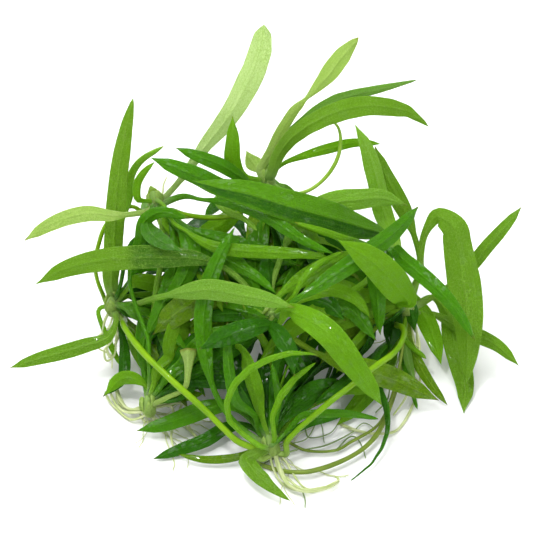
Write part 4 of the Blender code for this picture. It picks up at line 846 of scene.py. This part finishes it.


# Smaller leaves, most of them those that show from the front, and some dark ones that stand as painted shade
# in the dark places between
# them: crown, finish, widest in mm, and sheet measures
SMALL_LEAVES = (
    ("low_left", "fresh", 3.6, ((38, 98, 7), (34.5, 94.5, 9), (30.5, 94.5, 8), (26.5, 98.5, 5))),
    ("low_left", "deep", 4.4, ((46, 96, 12), (53.25, 90, 18), (65, 83.75, 24))),
    ("left", "fresh", 1.7, ((25, 77.25, 13.5), (27, 84, 10), (30.5, 91.25, 5))),
    ("left", "fresh", 3.4, ((40, 80, 19), (53.25, 82.5, 23), (66, 83.5, 27))),
    ("left", "dark", 5.0, ((41, 75.5, 22), (53.25, 76, 28), (67.5, 79.5, 31))),
    ("right", "fresh", 1.4, ((101, 84.5, 11), (106.25, 89.5, 8))),
    ("right", "blue", 2.3, ((101, 84, 10.5), (101.6, 89, 8.4), (103.25, 95, 5.5))),
    ("upper_left", "glint", 4.6, ((37, 55, 37.5), (38.4, 58.6, 40.5), (41.6, 60.8, 42), (45.8, 63, 41.5))),
    ("upper_left", "light", 1.5, ((41, 60, 32), (40.5, 66, 28), (39.25, 72.5, 24), (38.25, 82.5, 17))),
    ("upper_left", "dark", 5.2, ((45, 56, 37), (48, 63, 36), (46, 70, 32), (40.5, 76, 26))),
    ("upper_left", "dark", 5.0, ((47, 57, 35), (56, 60.5, 36.5), (66, 63.5, 36.5), (75, 66.5, 34))),
    ("upper_left", "dark", 4.6, ((43, 57, 35), (44, 67, 31), (41, 76, 26), (36.5, 84.5, 18))),
    ("middle", "deep", 5.0, ((75, 75, 32), (81, 75.5, 31), (86, 80, 27))),
    ("middle", "deep", 5.5, ((69, 80.5, 31.5), (64, 81.5, 33), (57.5, 83.5, 31.5), (50, 87, 27))),
    ("middle", "deep", 4.5, ((66.5, 80, 31), (69.5, 83, 33), (72.5, 88, 31), (73.5, 93.5, 27))),
    ("middle", "shade", 5.5, ((64, 84, 22), (60, 88, 16), (55, 92, 10), (50, 95, 6))),
    ("middle", "shade", 5.5, ((68, 85, 22), (67, 90, 17), (64, 96, 10), (60, 99, 6))),
    ("middle", "shade", 5.0, ((72, 86, 22), (76, 92, 15), (78, 97, 9))),
    ("low_left", "shade", 5.0, ((44, 98, 9), (51, 94, 13), (58, 88, 16), (63, 84, 18))),
    ("front", "shade", 5.0, ((66, 104, 8), (62, 98, 12), (58, 92, 15), (54, 86, 17))),
    ("front", "shade", 5.0, ((68, 103, 9), (69, 97, 13), (68, 90, 16))),
    ("right_inner", "shade", 5.0, ((94, 72, 20), (90, 80, 16), (84, 88, 12), (78, 93, 9))),
    ("right_inner", "shade", 5.0, ((97, 72, 18), (98, 80, 14), (97, 88, 10))),
    ("right_inner", "deep", 4.5, ((98, 71, 20), (102, 77, 15), (103.5, 83, 11))),
    ("middle", "dark", 4.5, ((80, 77, 29), (87, 77, 27), (93.75, 85, 20))),
    ("middle", "light", 1.3, ((65.8, 72, 31), (62.8, 61.5, 33), (63, 57.5, 34), (64, 52, 33))),
    ("middle", "light", 1.3, ((67, 70, 31), (65.3, 61.5, 34), (66, 56, 34), (67, 51, 33))),
    ("top", "fresh", 2.6, ((70, 53, 42), (78, 57, 42.5), (86.25, 60, 41))),
    ("top", "backlit", 4.4, ((65, 43, 38), (62.6, 39.8, 39), (61.6, 37.8, 39.6))),
    ("top", "light", 1.8, ((60, 47.5, 38), (54.5, 50, 40), (57, 53, 42), (61.25, 55, 43),
                           (64.25, 57.75, 43))),
    ("front", "dark", 1.9, ((69, 105, 11), (69.5, 99, 16), (68, 90.5, 23))),
)


def small_leaf(centre, route, wide):
    """A leaf through sheet places whose face is turned to the front, with a lance's width."""
    path, _ = smooth_through(np.concatenate([centre[None], off_sheet(route)]), 20)
    share = np.linspace(0, 1, 20)[:, None]
    across = unit(np.cross(np.gradient(path, axis=0), [0.1, -0.75, 0.65]))
    return path, across * np.maximum(wide * lance(share, 0.25), 1.2)


def sheath(centre, way, place, seed):
    """One of the pale leaf bases that wrap a crown's stem, each a turn further round and a little higher."""
    turn = 2.4 * place + seed
    side = unit(np.cross(way, [0.3, 0.9, 0.1]))
    out = math.cos(turn) * side + math.sin(turn) * np.cross(way, side)
    foot = 0.5 * place - 2.6
    above, far, wide = SHEATH_SHAPE.T[..., None]
    path = centre + (foot + above) * way + far * out
    across = np.cross(way, out) * wide * SHEATH_MM
    return blade_shell(path, across, SHEATH_SEED + 10 * seed + place, rows_mm=0.4, full=(1, 1), least=0.3)


# A pale young shoot at the lower left opens like a small trumpet: sheet measures, then radii
SHOOT_ROUTE = ((38, 101, 5.5), (42, 99, 12), (46.5, 96.5, 16.5), (47.3, 92, 19), (47.4, 89.6, 20),
               (47.4, 87.6, 20.8))
SHOOT_RADII = np.array([0.6, 0.6, 0.65, 0.9, 1.3, 2.1])
shoot = stem_shell(off_sheet(SHOOT_ROUTE), SHOOT_RADII, 0.3, 24, ribs=6, rib_depth=0.06, open_end=True)
skin("low_left_shoot", [shoot], leaf_finishes["backlit"])

crown_material = crown_finish()
for number, (crown, (measures, way)) in enumerate(CROWNS.items()):
    node = "crown_" + crown
    centre, way = off_sheet(measures)[0], unit(np.array(way, float))
    along, radius = np.array(CROWN_SHAPE).T
    body = stem_shell(centre + along[:, None] * way, radius, 0.3, 24, ribs=7, rib_depth=0.07, seed=number)
    piece = skin(crown + "_crown", [body], crown_material)
    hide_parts(node)
    corners, joined = welded(node)
    heart, young = centre + HEART_MM * way, {}
    for place, tip in enumerate(tips(joined)):
        rings, _ = rings_from(tip, joined, 4)
        if len(rings) > 1 and np.linalg.norm(corners[tip] - centre) > YOUNG_REACH_MM:
            path, across = leaf_sections(corners, rings, tip)
            path = np.concatenate([heart[None], path[::-1]])
            across = np.concatenate([unit(across[-1:]) * YOUNG_FOOT_MM, across[::-1]])
            name = YOUNG_FINISHES[(place + number) % len(YOUNG_FINISHES)]
            # A young leaf high in the clump is painted lighter, as lit
            if corners[tip][2] > LIT_ABOVE_MM:
                name = "fresh"
            # A young leaf low in the middle of the clump is painted darker, as shade
            if max(corners[tip][2], centre[2]) < SHADED_BELOW_MM and crown in ("middle", "back"):
                name = "shade"
            if crown == "front" and corners[tip][2] < 4:
                name = "olive"
            young.setdefault(name, []).append(blade_shell(path, across, 100 * number + place, rows_mm=1.0))
    rng = np.random.default_rng(number)
    for place in range(INNER_LEAVES[crown]):
        path, across = inner_leaf(centre, way, rng)
        leaf = blade_shell(path, across, INNER_SEED + 100 * number + place, rows_mm=1.2, sides=INNER_SIDES)
        name = YOUNG_FINISHES[(2 * place + number) % len(YOUNG_FINISHES)]
        # Inner leaves low in the clump get the darker finishes, as painted shade
        if path[:, 2].mean() < SHADED_BELOW_MM:
            name = ("shade", "deep")[place % 2]
        young.setdefault(name, []).append(leaf)
    for place, (grower, name, wide, route) in enumerate(SMALL_LEAVES):
        if grower == crown:
            leaf = blade_shell(*small_leaf(heart, route, wide), SMALL_SEED + place)
            young.setdefault(name, []).append(leaf)
    for place in range(SHEATHS):
        young.setdefault("backlit", []).append(sheath(centre, way, place, number))
    for name, shells in young.items():
        piece = skin(f"{crown}_young_{name}", shells, leaf_finishes[name])
        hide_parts(node)


# Table, light and camera. The clump lies on plain white under broad soft lights and pale light from all
# round, with one small lamp that makes the wet glints. It is seen from the front, 45 degrees above the
# table, through a long lens.

VIEW_MM = 133.25
LENS_MM, SENSOR_MM = 850.0, 36.0
SIGHT_CENTRE = (0.125, 5.92 + FORWARD, 5.92)
TABLE_GAP_MM = 0.2
TABLE_WHITE, ROOM_LIGHT = (0.9, 0.9, 0.9, 1), 0.75


def area_light(name, place, size, power):
    """A square soft light that faces the clump."""
    lamp = bpy.data.lights.new(name, "AREA")
    lamp.size, lamp.energy = size, power
    held = placed(name, lamp)
    held.location = place
    held.rotation_euler = Vector(place).to_track_quat("Z", "Y").to_euler()


floor_mesh = bpy.data.meshes.new("table")
floor_mesh.from_pydata([(-3, -3, 0), (3, -3, 0), (3, 3, 0), (-3, 3, 0)], [], [(0, 1, 2, 3)])
table = placed("table", floor_mesh)
table.location.z = -TABLE_GAP_MM * MM
table_paint, paint = blank_finish("table_white")
surface = paint.add("ShaderNodeBsdfPrincipled", None, {"Base Color": TABLE_WHITE, "Roughness": 0.8})
paint.add("ShaderNodeOutputMaterial", None, {"Surface": surface})
floor_mesh.materials.append(table_paint)

area_light("top_softbox", (-0.15, 0.12, 0.75), 0.7, 7.0)
area_light("front_softbox", (0.45, -0.75, 0.55), 0.5, 2.5)
area_light("glint_lamp", (-0.12, -0.2, 0.62), 0.05, 1.2)
world = bpy.data.worlds.new("white_room")
world.use_nodes = True
world.node_tree.nodes["Background"].inputs["Color"].default_value = (1, 1, 1, 1)
world.node_tree.nodes["Background"].inputs["Strength"].default_value = ROOM_LIGHT
bpy.context.scene.world = world

camera = bpy.data.cameras.new("camera")
camera.lens, camera.sensor_width = LENS_MM, SENSOR_MM
seen = placed("camera", camera)
distance = VIEW_MM * LENS_MM / SENSOR_MM * MM
aim = np.array(SIGHT_CENTRE) * MM
seen.location = aim + distance * np.array([0, -math.cos(SIGHT), math.sin(SIGHT)])
seen.rotation_euler = (math.pi / 2 - SIGHT, 0, 0)
camera.clip_start, camera.clip_end = 0.1, 20
bpy.context.scene.camera = seen
bpy.context.scene.view_settings.view_transform = "Standard"
